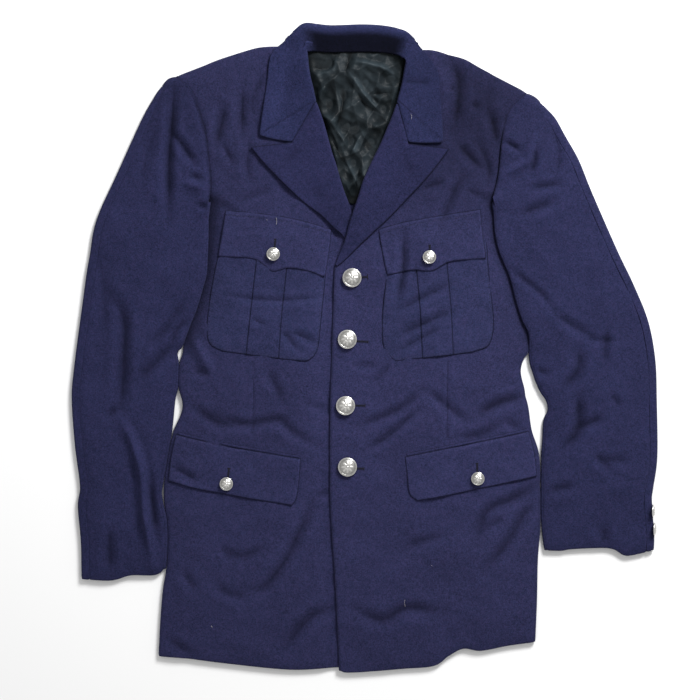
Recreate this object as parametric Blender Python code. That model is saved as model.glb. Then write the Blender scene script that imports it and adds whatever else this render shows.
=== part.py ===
"""Single-breasted dress uniform jacket, laid flat on its back with its front up.

Tables are in millimetres: x from the middle of the overall width, y from the middle of the
overall length towards the collar, z up from the surface. Right and left are the wearer's, so
the wearer's right side lies at -x. The left front laps over the right one.
"""
import math

import bpy
import numpy as np
from mathutils import Vector
from mathutils.bvhtree import BVHTree

MM = 0.001
SEAM = 0.3            # space between sewn pieces
LAY = 0.35            # space under a piece that lies on another

BACK_T = 1.5
FRONT_T = 1.8
SLEEVE_T = 1.5
LINING_T = 1.0
COLLAR_T = 2.0
LAPEL_T = 2.2
POCKET_T = 1.2
FLAP_T = 1.5

BACK_MID = BACK_T / 2
FRONT_MID = 4.6       # middle of the fronts' wall over the back
UNDER_MID = 2.7       # the right front where the left one laps over it
SLEEVE_MID = 5.0
LINING_MID = 2.3
BAND_MID = 6.4        # collar stand behind the neck, at its seam
RIDGE_MID = 8.0       # collar stand at its upper fold
NECK_LIFT = 2.3       # the back rises over the collar that is folded behind the neck
SIDE_R = (FRONT_MID - BACK_MID) / 2
ARM_R = (SLEEVE_MID - SLEEVE_T / 2) / 2
ROLL_R = 3.0          # lapel and collar roll
ROLL_R_LOW = 1.8      # lapel roll above the first button
COLLAR_R = (RIDGE_MID - COLLAR_T / 2) / 2
UNDER_COLLAR_W = 38.0
SLEEVE_SEAM_IN = 9.0  # hind-arm seam, in from the outer fold
SIDE_SEAM_IN = 28.0
PLEAT_RISE = 1.0

BIG_BUTTON = 22.6
SMALL_BUTTON = 15.7
SHANK_R = 2.2
SHANK_L = 1.6

# ---------------------------------------------------------------- outlines (x, y)
shoulder = {
    "right": [(-225, 324), (-212, 331.5), (-197, 337), (-172, 345), (-134, 357), (-119, 359.5),
              (-107, 360), (-97, 359.5), (-88, 357)],
    "left": [(194, 304), (184, 310), (161, 322), (139, 334), (119, 345), (99, 351), (81, 355.5), (64, 356)],
}
armhole = {
    "right": [(-225, 324), (-207, 307), (-196, 277), (-189, 249), (-184, 199), (-185.4, 176)],
    "left": [(194, 304), (178, 290), (170, 277), (164, 247), (160, 207), (154, 182)],
}
body_side = {
    "right": [(-185, 173), (-187, 141), (-190.7, 105), (-197.6, 57), (-215, 3), (-217.4, -15), (-217.8, -43),
              (-216.6, -70), (-228.6, -101), (-235.6, -135), (-239.2, -159), (-240, -173), (-239, -189),
              (-236, -207), (-235, -235), (-236.5, -262), (-241, -290), (-244, -327), (-246, -368)],
    "left": [(153.8, 179), (156.6, 139), (176, 86), (190, 36), (192, 3), (189, -15), (186.6, -29), (191.4, -51),
             (196.2, -75), (199.8, -99), (207.6, -123), (209.9, -147), (210, -183), (210, -207),
             (209.4, -225), (207, -255), (206, -303), (204, -351)],
}
closure = {
    "right": [(-0.6, 118), (-0.6, -63), (0, -255), (-0.6, -383)],
    "left": [(-35.4, 94.5), (-37.8, 16.5), (-40.6, -75), (-40.6, -183), (-35.4, -269), (-33, -315), (-30, -385)],
}
hem = {
    "right": [(-246, -368), (-209, -371), (-170, -376), (-89, -384), (-32, -381.5), (-0.6, -383)],
    "left": [(204, -351), (171, -355.5), (139, -361.5), (118, -359), (100, -368), (83, -379.5), (46, -383),
             (-16, -387.4), (-30, -385)],
}
centre_back = [(-13.8, 366.5), (-15, 177), (-17.4, -123), (-18.6, -381)]
back_neck = {
    "right": [(-56, 366.5), (-74, 358), (-90, 352)],
    "left": [(43, 366), (55, 358), (68, 350)],
}
sleeve_inner = {
    "right": [(-186, 176), (-188.5, 141), (-192, 105), (-199.8, 57), (-218.4, 6), (-222.6, -15), (-226, -63),
              (-231, -101), (-237.5, -135), (-241.4, -159), (-242.8, -173), (-241.8, -189), (-239, -207),
              (-238.5, -237), (-240, -264)],
    "left": [(155, 182), (158.8, 139), (178, 86), (196, 21), (196, -15), (200, -27), (209.4, -51), (217, -63),
             (219, -75), (214, -87), (212.6, -111), (212, -129), (212, -167), (212.8, -195), (214, -219),
             (215, -241.5)],
}
sleeve_outer = {
    "right": [(-227, 324.3), (-237, 320), (-272, 261), (-294.6, 210), (-320, 153), (-329, 106.5), (-338, 45),
              (-347.4, -27), (-349.8, -63), (-346, -117), (-340, -165), (-342.6, -189), (-339, -231),
              (-338, -276)],
    "left": [(196, 303), (203.4, 299), (214, 285), (233.4, 267), (256, 224), (272, 184.5), (302, 116),
             (322, 74), (339, 31), (347.4, -15), (349.2, -63), (349.8, -130), (345, -167), (343.3, -183),
             (346, -223.5), (345.6, -241.5)],
}
cuff = {
    "right": [(-240, -264), (-245, -269), (-255, -271.5), (-280, -271.5), (-303, -277.5), (-338, -276)],
    "left": [(215, -241.5), (234.6, -242), (249, -240), (292, -239), (309, -247), (318.6, -247.5),
             (345.6, -241.5)],
}
lining_edge = {
    "right": [(-55, 362.5), (-66, 353), (-69, 337), (-64, 304.5), (-53, 270), (-41, 226.5), (-31, 194), (-19, 174)],
    "left": [(41, 362), (51, 352), (53.5, 340), (48.6, 315), (39, 285), (26, 249), (4, 204), (-9, 174)],
}

# Collar sections from the right front end round the neck to the left one: inner edge (seam or roll), outer
# edge, and how far the section lies behind the neck (0 on the fronts, 1 behind).
collar_sections = [
    # inner x, inner y, outer x, outer y, behind
    (-57.6, 295.4, -86.8, 245.1, 0),
    (-60.6, 309.3, -106, 248, 0),
    (-64.2, 323.7, -126.6, 253, 0),
    (-66.6, 338, -120.6, 292.5, 0),
    (-67.8, 350, -116.3, 321.3, 0),
    (-69, 359.7, -112, 350, 0),
    (-69, 365.7, -96.6, 365.7, 0),
    (-62, 365.5, -83.5, 378, 0.5),
    (-55.8, 365, -69, 387.2, 1),
    (-34, 365, -41.4, 385, 1),
    (-7.8, 365, -7.8, 386, 1),
    (18.6, 365, 21, 385, 1),
    (41.4, 365, 45, 379.5, 1),
    (48, 364.5, 57, 370, 0.5),
    (53.4, 363.3, 66.6, 358.5, 0),
    (52, 355, 87, 332, 0),
    (49.8, 343, 90.6, 303.3, 0),
    (46, 326, 93, 273.3, 0),
    (43.8, 314, 94.2, 244.5, 0),
    (41.4, 304.5, 71.4, 244, 0),
    (39, 295, 51.7, 244.8, 0),
]
# Lapels: roll line and outer edge, both from the collar down, and the notch where the gorge seam ends.
lapel = {
    "right": {
        "roll": [(-57, 293.5), (-50, 274.5), (-46, 260), (-41.4, 243.3), (-34.2, 219.3), (-27, 194), (-17.8, 169)],
        "notch": (-86, 243.8),
        "edge": [(-135, 238.5), (-120.6, 221), (-105, 203.7), (-88, 181), (-60.6, 158.7), (-43.8, 145.5),
                 (-29, 138.5)],
    },
    "left": {
        "roll": [(38.4, 292.3), (31.8, 274.5), (25.8, 260), (18.6, 243.3), (7.8, 221.7), (-1.8, 200),
                 (-7.8, 179.7), (-16.2, 154.5), (-23.4, 129.3)],
        "notch": (51.6, 242.1),
        "edge": [(99.7, 236.6), (89.4, 222.3), (78.6, 208.5), (65.4, 193.5), (51, 178.5), (31.8, 158),
                 (11.4, 139), (-3, 121.5)],
    },
}
breast_pocket = {
    "right": {
        "top": [(-170.4, 125.7), (-136, 122), (-98, 117.3), (-46.5, 103)],
        "left": [(-170.4, 125.7), (-176.4, 103), (-184, 62), (-188, 25), (-184.4, 4.5), (-169.8, -4)],
        "right": [(-46.5, 103), (-47, 81), (-50, 51), (-51.6, 27), (-55.8, -2.7), (-70, -16.5)],
        "bottom": [(-169.8, -4), (-140.4, -8), (-102.6, -12.8), (-70, -16.5)],
    },
    "left": {
        "top": [(23.4, 105.3), (60.6, 115), (102.6, 122), (145.8, 125.7)],
        "left": [(23.4, 105.3), (25.3, 81), (21, 34.5), (23.4, -1.5), (36.6, -16)],
        "right": [(145.8, 125.7), (148, 93), (151.8, 57), (154, 27), (148, 3.3), (129, -5)],
        "bottom": [(36.6, -16), (69, -12.3), (105.6, -8.2), (129, -5)],
    },
}
breast_flap = {
    "right": {
        "top": [(-165.6, 164), (-130, 161), (-94, 155.7), (-65.4, 149), (-39.4, 141.3)],
        "left": [(-165.6, 164), (-169.8, 136.5), (-174.6, 109)],
        "right": [(-39.4, 141.3), (-42.6, 112.5), (-47.4, 84.3)],
        "bottom": [(-174.6, 109), (-135, 106.5), (-122, 100), (-109.8, 91), (-90.6, 95), (-69, 92), (-47.4, 84.3)],
    },
    "left": {
        "top": [(16.8, 141.3), (41.4, 148.5), (79.8, 156), (108.6, 160.5), (138, 165.3)],
        "left": [(16.8, 141.3), (21, 115), (27, 86.6)],
        "right": [(138, 165.3), (141, 135.3), (144.6, 106.5)],
        "bottom": [(27, 86.6), (57, 92.7), (71.4, 91.5), (82, 92), (93, 98.5), (105, 103.4), (144.6, 106.5)],
    },
}
hip_flap = {
    "right": {
        "top": [(-222, -104), (-200, -109.5), (-159, -118), (-116, -125.7), (-76, -132.3)],
        "left": [(-222, -104), (-225.5, -131), (-228, -160)],
        "right": [(-76, -132.3), (-78, -156), (-81, -178), (-86.4, -187.5)],
        "bottom": [(-228, -160), (-204.6, -167), (-165.6, -174.3), (-125.4, -181.5), (-86.4, -187.5)],
    },
    "left": {
        "top": [(48.4, -130), (78.6, -124), (120.6, -115.5), (162.6, -107), (192.5, -100.5)],
        "left": [(48.4, -130), (51, -154), (54, -174.3), (63, -182)],
        "right": [(192.5, -100.5), (197, -126), (199, -154.5)],
        "bottom": [(63, -182), (90.6, -177.3), (128, -169.5), (162.6, -162.3), (199, -154.5)],
    },
}
buttons = {
    # name: x, y, diameter
    "front_button_1": (-15, 83.3, BIG_BUTTON),
    "front_button_2": (-20.6, 10, BIG_BUTTON),
    "front_button_3": (-22.7, -69, BIG_BUTTON),
    "front_button_4": (-20.4, -142, BIG_BUTTON),
    "breast_button_right": (-108.6, 111.3, SMALL_BUTTON),
    "breast_button_left": (76.9, 107.7, SMALL_BUTTON),
    "hip_button_right": (-164.5, -162, SMALL_BUTTON),
    "hip_button_left": (134.6, -155.7, SMALL_BUTTON),
}
CUFF_BUTTONS = {"cuff_button_1": -194.7, "cuff_button_2": -216.3}   # y along the outer fold
CUFF_BUTTON_LEAN = 75.0                                             # degrees from upright
CUFF_BUTTON_Z = 7.9
CUFF_BUTTON_OUT = -0.6                                              # back of the button from the outer fold

# Largest folds: a line from (x1, y1) to (x2, y2), half width and rise, in which a trough is negative.
front_folds = {
    "right": [
        (-210, 18, -183, -31, 15, 1.5),
        (-180, -79, -137, -89, 13, -1.5),
        (-137, -89, -65, -110, 13, -1.5),
        (-116, -28, -98, -66, 13, -1.3),
        (-61, -182, -98, -258, 14, -1.5),
        (-98, -258, -137, -288, 14, -1.5),
        (-98, -362, -63, -323, 15, -1.4),
        (-167, 286, -178, 241, 14, -1.3),
        (-146, 310, -147, 259, 14, -1.2),
        (-150, 50, -150, 20, 45, 0.9),
    ],
    "left": [
        (47, 129, 39, 51, 12, -1.3),
        (38, 21, 100, 60, 13, -1.0),
        (0, -124, 63, -73, 13, -1.3),
        (133, -82, 189, -60, 12, -1.7),
        (127, -107, 184, -88, 12, 1.0),
        (143, -213, 208, -166, 13, -1.6),
        (141, -269, 200, -181, 14, 1.4),
        (-17, -310, 95, -317, 16, -1.4),
        (109, 338, 109, 264, 14, -1.3),
        (127, 237, 97, 171, 14, -1.0),
    ],
}
sleeve_folds = {
    "right": [
        (-231, 265, -235, 152, 13, -1.8),
        (-214, 249, -208, 171, 13, 1.8),
        (-297, 51, -292, -75, 12, -1.8),
        (-293, -82, -266, -154, 10, 2.2),
        (-266, -154, -253, -255, 10, 2.4),
        (-244, -140, -242, -215, 9, -1.5),
    ],
    "left": [
        (179, 91, 232, 31, 14, -1.6),
        (196, 201, 260, 194, 14, -1.4),
        (255, -5, 237, -53, 12, -1.6),
        (253, -63, 235, -121, 12, -1.5),
        (254, -97, 285, -83, 12, 1.4),
        (291, 21, 285, -22, 14, -1.3),
    ],
}
# The lining's crumples, as the fronts' folds.
lining_folds = [
    (-50, 340, -25, 300, 9, 1.4),
    (-20, 350, 5, 310, 9, 1.5),
    (25, 345, 20, 285, 9, 1.2),
    (-30, 290, 0, 240, 10, 1.6),
    (5, 280, -12, 210, 8, 1.2),
]


# ---------------------------------------------------------------- curves and patches
def smooth_step(x):
    """0 below 0, 1 above 1, smooth between."""
    x = np.clip(x, 0.0, 1.0)
    return x * x * (3 - 2 * x)


def curve(points, rows, start=0.0, end=1.0):
    """'rows' points at even distances along a smooth curve through 'points'."""
    pts = np.array(points, float)
    ends = np.vstack([2 * pts[0] - pts[1], pts, 2 * pts[-1] - pts[-2]])
    t = np.linspace(0, 1, 12, endpoint=False)[:, None]
    dense = []
    for a, b, c, d in zip(ends[:-3], ends[1:-2], ends[2:-1], ends[3:]):
        dense.append(0.5 * (2 * b + (c - a) * t + (2 * a - 5 * b + 4 * c - d) * t**2
                            + (3 * b - 3 * c + d - a) * t**3))
    dense = np.vstack(dense + [pts[-1:]])
    run = np.concatenate([[0], np.cumsum(np.linalg.norm(np.diff(dense, axis=0), axis=1))])
    at = np.linspace(start, end, rows) * run[-1]
    return np.stack([np.interp(at, run, dense[:, k]) for k in range(pts.shape[1])], 1)


def sideways(line):
    """Unit normals to the right of a line of points."""
    along = np.gradient(line, axis=0)
    along /= np.linalg.norm(along, axis=1)[:, None]
    return np.stack([along[:, 1], -along[:, 0]], 1)


def trimmed(line, start, rows, end=None):
    """The line from its point nearest 'start' to its end (or to its point nearest 'end')."""
    dense = curve(line, 200)
    first = int(np.argmin(np.linalg.norm(dense - start, axis=1)))
    last = len(dense) - 1 if end is None else int(np.argmin(np.linalg.norm(dense - end, axis=1)))
    part = dense[first:last + 1] if first < last else dense[last:first + 1][::-1]
    return curve(part, rows)


def share(line):
    """Distance along a line of points, from 0 to 1."""
    run = np.concatenate([[0], np.cumsum(np.linalg.norm(np.diff(line, axis=0), axis=1))])
    return run / run[-1]


def patch(left, right, top, bottom):
    """Coons patch: rows run from the left line to the right one, columns from top to bottom."""
    top = top.copy()
    bottom = bottom.copy()
    top[0], top[-1], bottom[0], bottom[-1] = left[0], right[0], left[-1], right[-1]
    v = ((share(left) + share(right)) / 2)[:, None, None]
    u = ((share(top) + share(bottom)) / 2)[None, :, None]
    across = (1 - u) * left[:, None] + u * right[:, None]
    down = (1 - v) * top[None] + v * bottom[None]
    corners = ((1 - u) * (1 - v) * left[0] + u * (1 - v) * right[0] + (1 - u) * v * left[-1] + u * v * right[-1])
    return across + down - corners


def raised(plan, height):
    """A plan grid with its height as the third value."""
    return np.concatenate([plan, height[..., None]], -1)


def half_round(base, outward, low, high, angles):
    """Fold between two levels: a point of each row turns about the middle, from angle to angle (degrees)."""
    r = ((high - low) / 2)[:, None]
    turn = np.radians(np.array(angles, float))[None, :]
    plan = base[:, None, :] + outward[:, None, :] * (r * np.cos(turn))[..., None]
    return raised(plan, (low[:, None] + r) + r * np.sin(turn))


def folded(x, y, folds):
    """Sum of the folds: each falls off as a bell across its line and softly past its ends."""
    total = np.zeros_like(x)
    for x1, y1, x2, y2, width, rise in folds:
        along = np.array([x2 - x1, y2 - y1], float)
        length = np.linalg.norm(along)
        along /= length
        t = (x - x1) * along[0] + (y - y1) * along[1]
        off = (x - x1) * along[1] - (y - y1) * along[0]
        past = np.maximum(np.maximum(-t, t - length), 0)
        total += rise * np.exp(-(off / width) ** 2 - (past / width) ** 2)
    return total


# ---------------------------------------------------------------- solids
solids = {}
materials = {}
jacket = None


def material(name, colour, roughness, metallic=0.0):
    if name not in materials:
        made = bpy.data.materials.new(name)
        made.use_nodes = True
        shader = made.node_tree.nodes["Principled BSDF"]
        shader.inputs["Base Color"].default_value = (*colour, 1)
        shader.inputs["Roughness"].default_value = roughness
        shader.inputs["Metallic"].default_value = metallic
        materials[name] = made
    return materials[name]


def wool():
    return material("navy wool", (0.030, 0.032, 0.085), 0.88)


def satin():
    return material("lining satin", (0.030, 0.036, 0.040), 0.38)


def nickel():
    return material("nickel silver", (0.62, 0.60, 0.57), 0.28, 1.0)


def add_object(name, points, faces, finish, place=(0, 0, 0), turn=(0, 0, 0)):
    """One named object; 'points' are millimetres about 'place'."""
    mesh = bpy.data.meshes.new(name)
    mesh.from_pydata([tuple(p) for p in np.asarray(points) * MM], [], faces)
    mesh.materials.append(finish)
    mesh.shade_smooth()
    mesh.set_sharp_from_angle(angle=math.radians(40))
    thing = bpy.data.objects.new(name, mesh)
    thing.location = Vector(place) * MM
    thing.rotation_euler = turn
    thing.parent = jacket
    bpy.context.scene.collection.objects.link(thing)
    return thing


def wall(name, middle, thickness, finish=None):
    """Closed wall about a grid of middle points, half the thickness to each side along its normals."""
    across = np.gradient(middle, axis=1)
    down = np.gradient(middle, axis=0)
    normal = np.cross(across, down)
    normal /= np.linalg.norm(normal, axis=2)[..., None]
    rows, cols = middle.shape[:2]
    outer = (middle + normal * thickness / 2).reshape(-1, 3)
    inner = (middle - normal * thickness / 2).reshape(-1, 3)
    count = rows * cols
    faces = []
    for i in range(rows - 1):
        for j in range(cols - 1):
            a, b, c, d = i * cols + j, i * cols + j + 1, (i + 1) * cols + j + 1, (i + 1) * cols + j
            faces.append((a, b, c, d))
            faces.append((count + d, count + c, count + b, count + a))
    rim = [j for j in range(cols)] + [i * cols + cols - 1 for i in range(1, rows)]
    rim += [(rows - 1) * cols + j for j in range(cols - 2, -1, -1)] + [i * cols for i in range(rows - 2, 0, -1)]
    for a, b in zip(rim, rim[1:] + rim[:1]):
        faces.append((b, a, count + a, count + b))
    points = np.vstack([outer, inner])
    solids[name] = (points, faces)
    return add_object(name, points, faces, finish or wool())


class Bed:
    """Highest point of some finished solids under a place."""

    def __init__(self, *names):
        points = []
        faces = []
        for name in names:
            start = len(points)
            points.extend(tuple(p) for p in solids[name][0])
            faces.extend(tuple(start + k for k in face) for face in solids[name][1])
        self.tree = BVHTree.FromPolygons(points, faces)

    def top(self, x, y, reach):
        """Highest point within 'reach' of each place, or 0."""
        ring = [(0.0, 0.0)] + [(k * reach * math.cos(a), k * reach * math.sin(a)) for k in (0.5, 1.0)
                               for a in np.arange(8) * math.pi / 4]
        out = np.zeros(x.shape)
        for index in np.ndindex(x.shape):
            for dx, dy in ring:
                hit = self.tree.ray_cast(Vector((x[index] + dx, y[index] + dy, 200.0)), Vector((0, 0, -1)))[0]
                if hit is not None:
                    out[index] = max(out[index], hit.z)
        return out


# ---------------------------------------------------------------- heights (middle of the wall)
def neck_lift(x, y):
    """Rise of every layer over the collar folded behind the neck."""
    return NECK_LIFT * smooth_step((x + 94) / 26) * smooth_step((74 - x) / 26) * smooth_step((y - 292) / 42)


def overlap_edge(y):
    """x of the left front's free edge, or far right above it."""
    edge = curve(closure["left"], 30)[::-1]
    ys = np.concatenate([edge[:, 1], [107.7, 149.7, 167.7, 177]])
    xs = np.concatenate([edge[:, 0], [-30.0, -16.6, -9.4, 25.0]])
    return np.interp(y, ys, xs)


def front_height(side, plan):
    x, y = plan[..., 0], plan[..., 1]
    lowest = BACK_T + LAY + FRONT_T / 2
    centre = -105 if side == "right" else 75
    crown = 0.8 * np.exp(-(((x - centre) / 70) ** 2) - ((y - 150) / 130) ** 2)
    high = FRONT_MID + crown + folded(x, y, front_folds[side])
    if side == "right":
        lap = smooth_step((x - overlap_edge(y) + 27) / 14)
        high = high + (UNDER_MID - high) * lap
    else:
        over = UNDER_MID + FRONT_T + LAY
        lowest = lowest + (over - lowest) * smooth_step((50 - x) / 25)
    return np.maximum(high, lowest) + neck_lift(x, y)


def sleeve_height(side, plan):
    x, y = plan[..., 0], plan[..., 1]
    high = SLEEVE_MID + 0.5 + folded(x, y, sleeve_folds[side])
    return np.maximum(high, SLEEVE_T + LAY + SLEEVE_T / 2)


def turn_sign(side):
    """+1 where the right-hand normals of a line that runs down the side point away from the garment."""
    return 1 if side == "right" else -1


# ---------------------------------------------------------------- body
ARM_ROWS = 8
SIDE_ROWS = 16
NECK_ROWS = 12
BACK_COLS = 9
# Columns of a front from the side to the closure, close together where the left one starts to lap over.
FRONT_SHARES = {
    "right": [0, 0.11, 0.22, 0.33, 0.44, 0.55, 0.66, 0.76, 0.825, 0.91, 1],
    "left": [0, 0.1, 0.2, 0.3, 0.4, 0.5, 0.6, 0.7, 0.8, 0.9, 1],
}
FOLD_IN = SIDE_R + FRONT_T / 2        # from the silhouette to the level part of a front


def at_shares(points, shares):
    """Points at shares of the length of a smooth curve."""
    dense = curve(points, 201)
    return np.stack([np.interp(shares, np.linspace(0, 1, 201), dense[:, k]) for k in (0, 1)], 1)


def shoulder_fold(side):
    """Where the shoulder starts to turn under, and the outward normals."""
    line = at_shares(shoulder[side], FRONT_SHARES[side])
    out = -sideways(line) * turn_sign(side)
    return line - out * FOLD_IN, out


def arm_line(side, inset):
    """The armhole seam moved towards the body, from the shoulder down."""
    line = trimmed(armhole[side], shoulder_fold(side)[0][0], ARM_ROWS)
    return line - sideways(line) * turn_sign(side) * inset


def side_line(side, inset):
    """The body's side, moved in by a distance or by one distance for each row."""
    line = curve(body_side[side], SIDE_ROWS)
    return line - sideways(line) * turn_sign(side) * np.reshape(inset, (-1, 1))


def roll_radius(rows):
    """Radius of the lapel's roll, from the collar down."""
    return ROLL_R + (ROLL_R_LOW - ROLL_R) * smooth_step((np.linspace(0, 1, rows) - 0.35) / 0.65)


def neck_edge(side):
    """The front's edge, a little outside the lower end of the roll."""
    sign = turn_sign(side)
    collar_rows = collar_sections[1:6][::-1] if side == "right" else collar_sections[15:20]
    line = curve([row[:2] for row in collar_rows] + lapel[side]["roll"], 24)
    reach = np.concatenate([np.full(10, ROLL_R), roll_radius(14)]) + LAPEL_T / 2 + 1.5
    line = line + sideways(line) * sign * reach[:, None]
    start = shoulder_fold(side)[0][-1]
    last = closure[side][0]
    kept = [tuple(p) for p in line if last[1] + 8 < p[1] < start[1] - 8]
    return curve([tuple(start)] + kept + [last], NECK_ROWS)


def make_front(side):
    top, out = shoulder_fold(side)
    outer_line = np.vstack([arm_line(side, SEAM / 2), side_line(side, SIDE_R + BACK_T / 2)])
    edge = curve(closure[side], ARM_ROWS + SIDE_ROWS - NECK_ROWS + 1)[1:]
    inner_line = np.vstack([neck_edge(side), edge])
    plan = patch(outer_line, inner_line, top, at_shares(hem[side], FRONT_SHARES[side]))
    height = front_height(side, plan)
    low = FRONT_T / 2 + neck_lift(plan[0, :, 0], plan[0, :, 1])
    turned = half_round(plan[0], out, low, height[0], (-90, -45, 0, 45)).transpose(1, 0, 2)
    wall(f"front_{side}", np.vstack([turned, raised(plan, height)]), FRONT_T)


def seam_spread(rows):
    """Share of the side panel's width under the body: narrow at the armhole, full below it."""
    return 0.2 + 0.8 * smooth_step(np.linspace(0, 1, rows) / 0.18)


def make_side_panel(side):
    base = side_line(side, SIDE_R + BACK_T / 2)
    out = sideways(base) * turn_sign(side)
    high = front_height(side, base)
    low = np.full(len(base), BACK_MID)
    turned = half_round(base, out, low, high, (68, 36, 0, -45, -90))
    reach = SIDE_SEAM_IN * seam_spread(len(base))
    leaf = [raised(base - out * (reach * k)[:, None], low)[:, None] for k in (0.4, 1.0)]
    wall(f"side_panel_{side}", np.concatenate([turned] + leaf, 1), BACK_T)


def make_back(side):
    line, out = shoulder_fold(side)
    line = (line - out * 6 * SEAM)[:-2]
    middle = SEAM / 2 * turn_sign(side)
    centre = curve(centre_back, ARM_ROWS + SIDE_ROWS) - [middle, 0]
    top = curve([tuple(p) for p in line] + back_neck[side][::-1] + [tuple(centre[0])], BACK_COLS)
    reach = SIDE_R + BACK_T / 2 + SIDE_SEAM_IN * seam_spread(SIDE_ROWS) + SEAM
    seam = side_line(side, reach)
    bottom = trimmed([(x, y + 3) for x, y in hem[side]], seam[-1], BACK_COLS, centre[-1])
    arm = arm_line(side, SEAM / 2)
    arm[0] += 0.13 * (arm[1] - arm[0])
    plan = patch(np.vstack([arm, seam]), centre, top, bottom)
    wall(f"back_{side}", raised(plan, BACK_MID + neck_lift(plan[..., 0], plan[..., 1])), BACK_T)


# ---------------------------------------------------------------- sleeves
INNER_ROWS = 15
ARM_FOLD_IN = ARM_R + SLEEVE_T / 2


def across_rows(grid, place):
    """Points of each row of a plan grid at the distances 'place' (rows, columns) along the row."""
    out = np.zeros(place.shape + (2,))
    for row, spots, found in zip(grid, place, out):
        run = np.concatenate([[0], np.cumsum(np.linalg.norm(np.diff(row, axis=0), axis=1))])
        found[:, 0] = np.interp(spots, run, row[:, 0])
        found[:, 1] = np.interp(spots, run, row[:, 1])
    return out


def make_sleeve(side):
    """Two leaves: along the armhole both end at the seam, below it the under sleeve turns up at the inner edge."""
    sign = turn_sign(side)
    rows = ARM_ROWS + INNER_ROWS
    arm = arm_line(side, -SEAM / 2)
    inner = np.vstack([arm, curve(sleeve_inner[side], INNER_ROWS + 1)[1:]])
    outer = curve(sleeve_outer[side], rows, 0.014)
    to_in = -sideways(inner) * sign
    to_out = sideways(outer) * sign
    outer_fold = outer - to_out * ARM_FOLD_IN
    below = np.arange(rows) >= ARM_ROWS
    turn = np.where(below, math.pi, 0.0)
    width = np.linalg.norm(outer_fold - inner, axis=1)
    strip_length = np.where(below, math.pi * ARM_R, np.minimum(math.pi * ARM_R, 0.4 * width))
    strip_in = np.where(below, ARM_FOLD_IN, strip_length)
    bottom_in = curve(cuff[side], 5)

    def leaf(left, right, cols, high):
        first = np.linspace(0, 1, cols)[:, None]
        top = left[0] + (right[0] - left[0]) * first
        bottom = trimmed(bottom_in, left[-1], cols, right[-1])
        plan = patch(left, right, top, bottom)
        level = sleeve_height(side, plan) if high else np.full(plan.shape[:2], SLEEVE_T / 2)
        return raised(plan, level)

    hind_in = np.minimum(SLEEVE_SEAM_IN - ARM_FOLD_IN, 0.3 * width)[:, None]
    inner_edge = inner - to_in * np.where(below, ARM_FOLD_IN + SEAM, 0)[:, None]
    upper = leaf(inner_edge, outer_fold - to_out * (hind_in + SEAM), 7, True)
    wall(f"top_sleeve_{side}", upper, SLEEVE_T)

    strip = leaf(outer_fold - to_out * hind_in, outer_fold, 2, True)
    low = np.full(rows, SLEEVE_T / 2)
    turned = half_round(outer_fold, to_out, low, strip[:, -1, 2], (90, 45, 0, -45, -90))
    base = inner - to_in * strip_in[:, None]
    under = leaf(base, outer_fold, 5, False)[:, ::-1]
    lift = np.where(below, (upper[:, 0, 2] - low) / (2 * ARM_R), 1.0)
    fold = bent_rows(base, to_in, low, strip_length, -turn, 6)
    fold[..., 2] = low[:, None] + (fold[..., 2] - low[:, None]) * lift[:, None]
    wall(f"under_sleeve_{side}", np.concatenate([strip, turned[:, 1:], under[:, 1:], fold[:, 1:]], 1), SLEEVE_T)


# ---------------------------------------------------------------- neck
def make_lining():
    rows = 10
    cols = 9
    right = curve(lining_edge["right"], rows)
    left = curve(lining_edge["left"], rows)
    top = curve([lining_edge["right"][0], (-8, 368), lining_edge["left"][0]], cols)
    bottom = curve([lining_edge["right"][-1], (-14, 172), lining_edge["left"][-1]], cols)
    plan = patch(right, left, top, bottom)
    x, y = plan[..., 0], plan[..., 1]
    u = np.linspace(0, 1, cols)[None, :]
    v = np.linspace(0, 1, rows)[:, None]
    free = smooth_step(np.minimum(u, 1 - u) / 0.2) * smooth_step((v - 0.06) / 0.15) * smooth_step((1 - v) / 0.15)
    height = LINING_MID + neck_lift(x, y) + free * folded(x, y, lining_folds)
    back = Bed("back_right", "back_left").top(x, y, 9.0)
    wall("lining", raised(plan, np.maximum(height, back + LAY + LINING_T / 2)), LINING_T, satin())


def reach_of(length, turn, thickness):
    """How far a bent strip reaches past its start."""
    turn = np.maximum(turn, 0.001)
    quarter = np.sin(np.minimum(turn, math.pi / 2))
    return length / turn * quarter + thickness / 2 * quarter


def bent_rows(base, outward, z, length, turn, steps):
    """Strip of one length at each row that leaves it level and bends down (or up) through the row's angle."""
    length = np.broadcast_to(np.asarray(length, float), z.shape)[:, None]
    turn = np.where(np.abs(turn) < 0.001, 0.001, turn)[:, None]
    s = np.linspace(0, 1, steps)[None, :] * length
    radius = length / turn
    plan = base[:, None, :] + outward[:, None, :] * (radius * np.sin(s / radius))[..., None]
    return raised(plan, z[:, None] - radius * (1 - np.cos(s / radius)))


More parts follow.
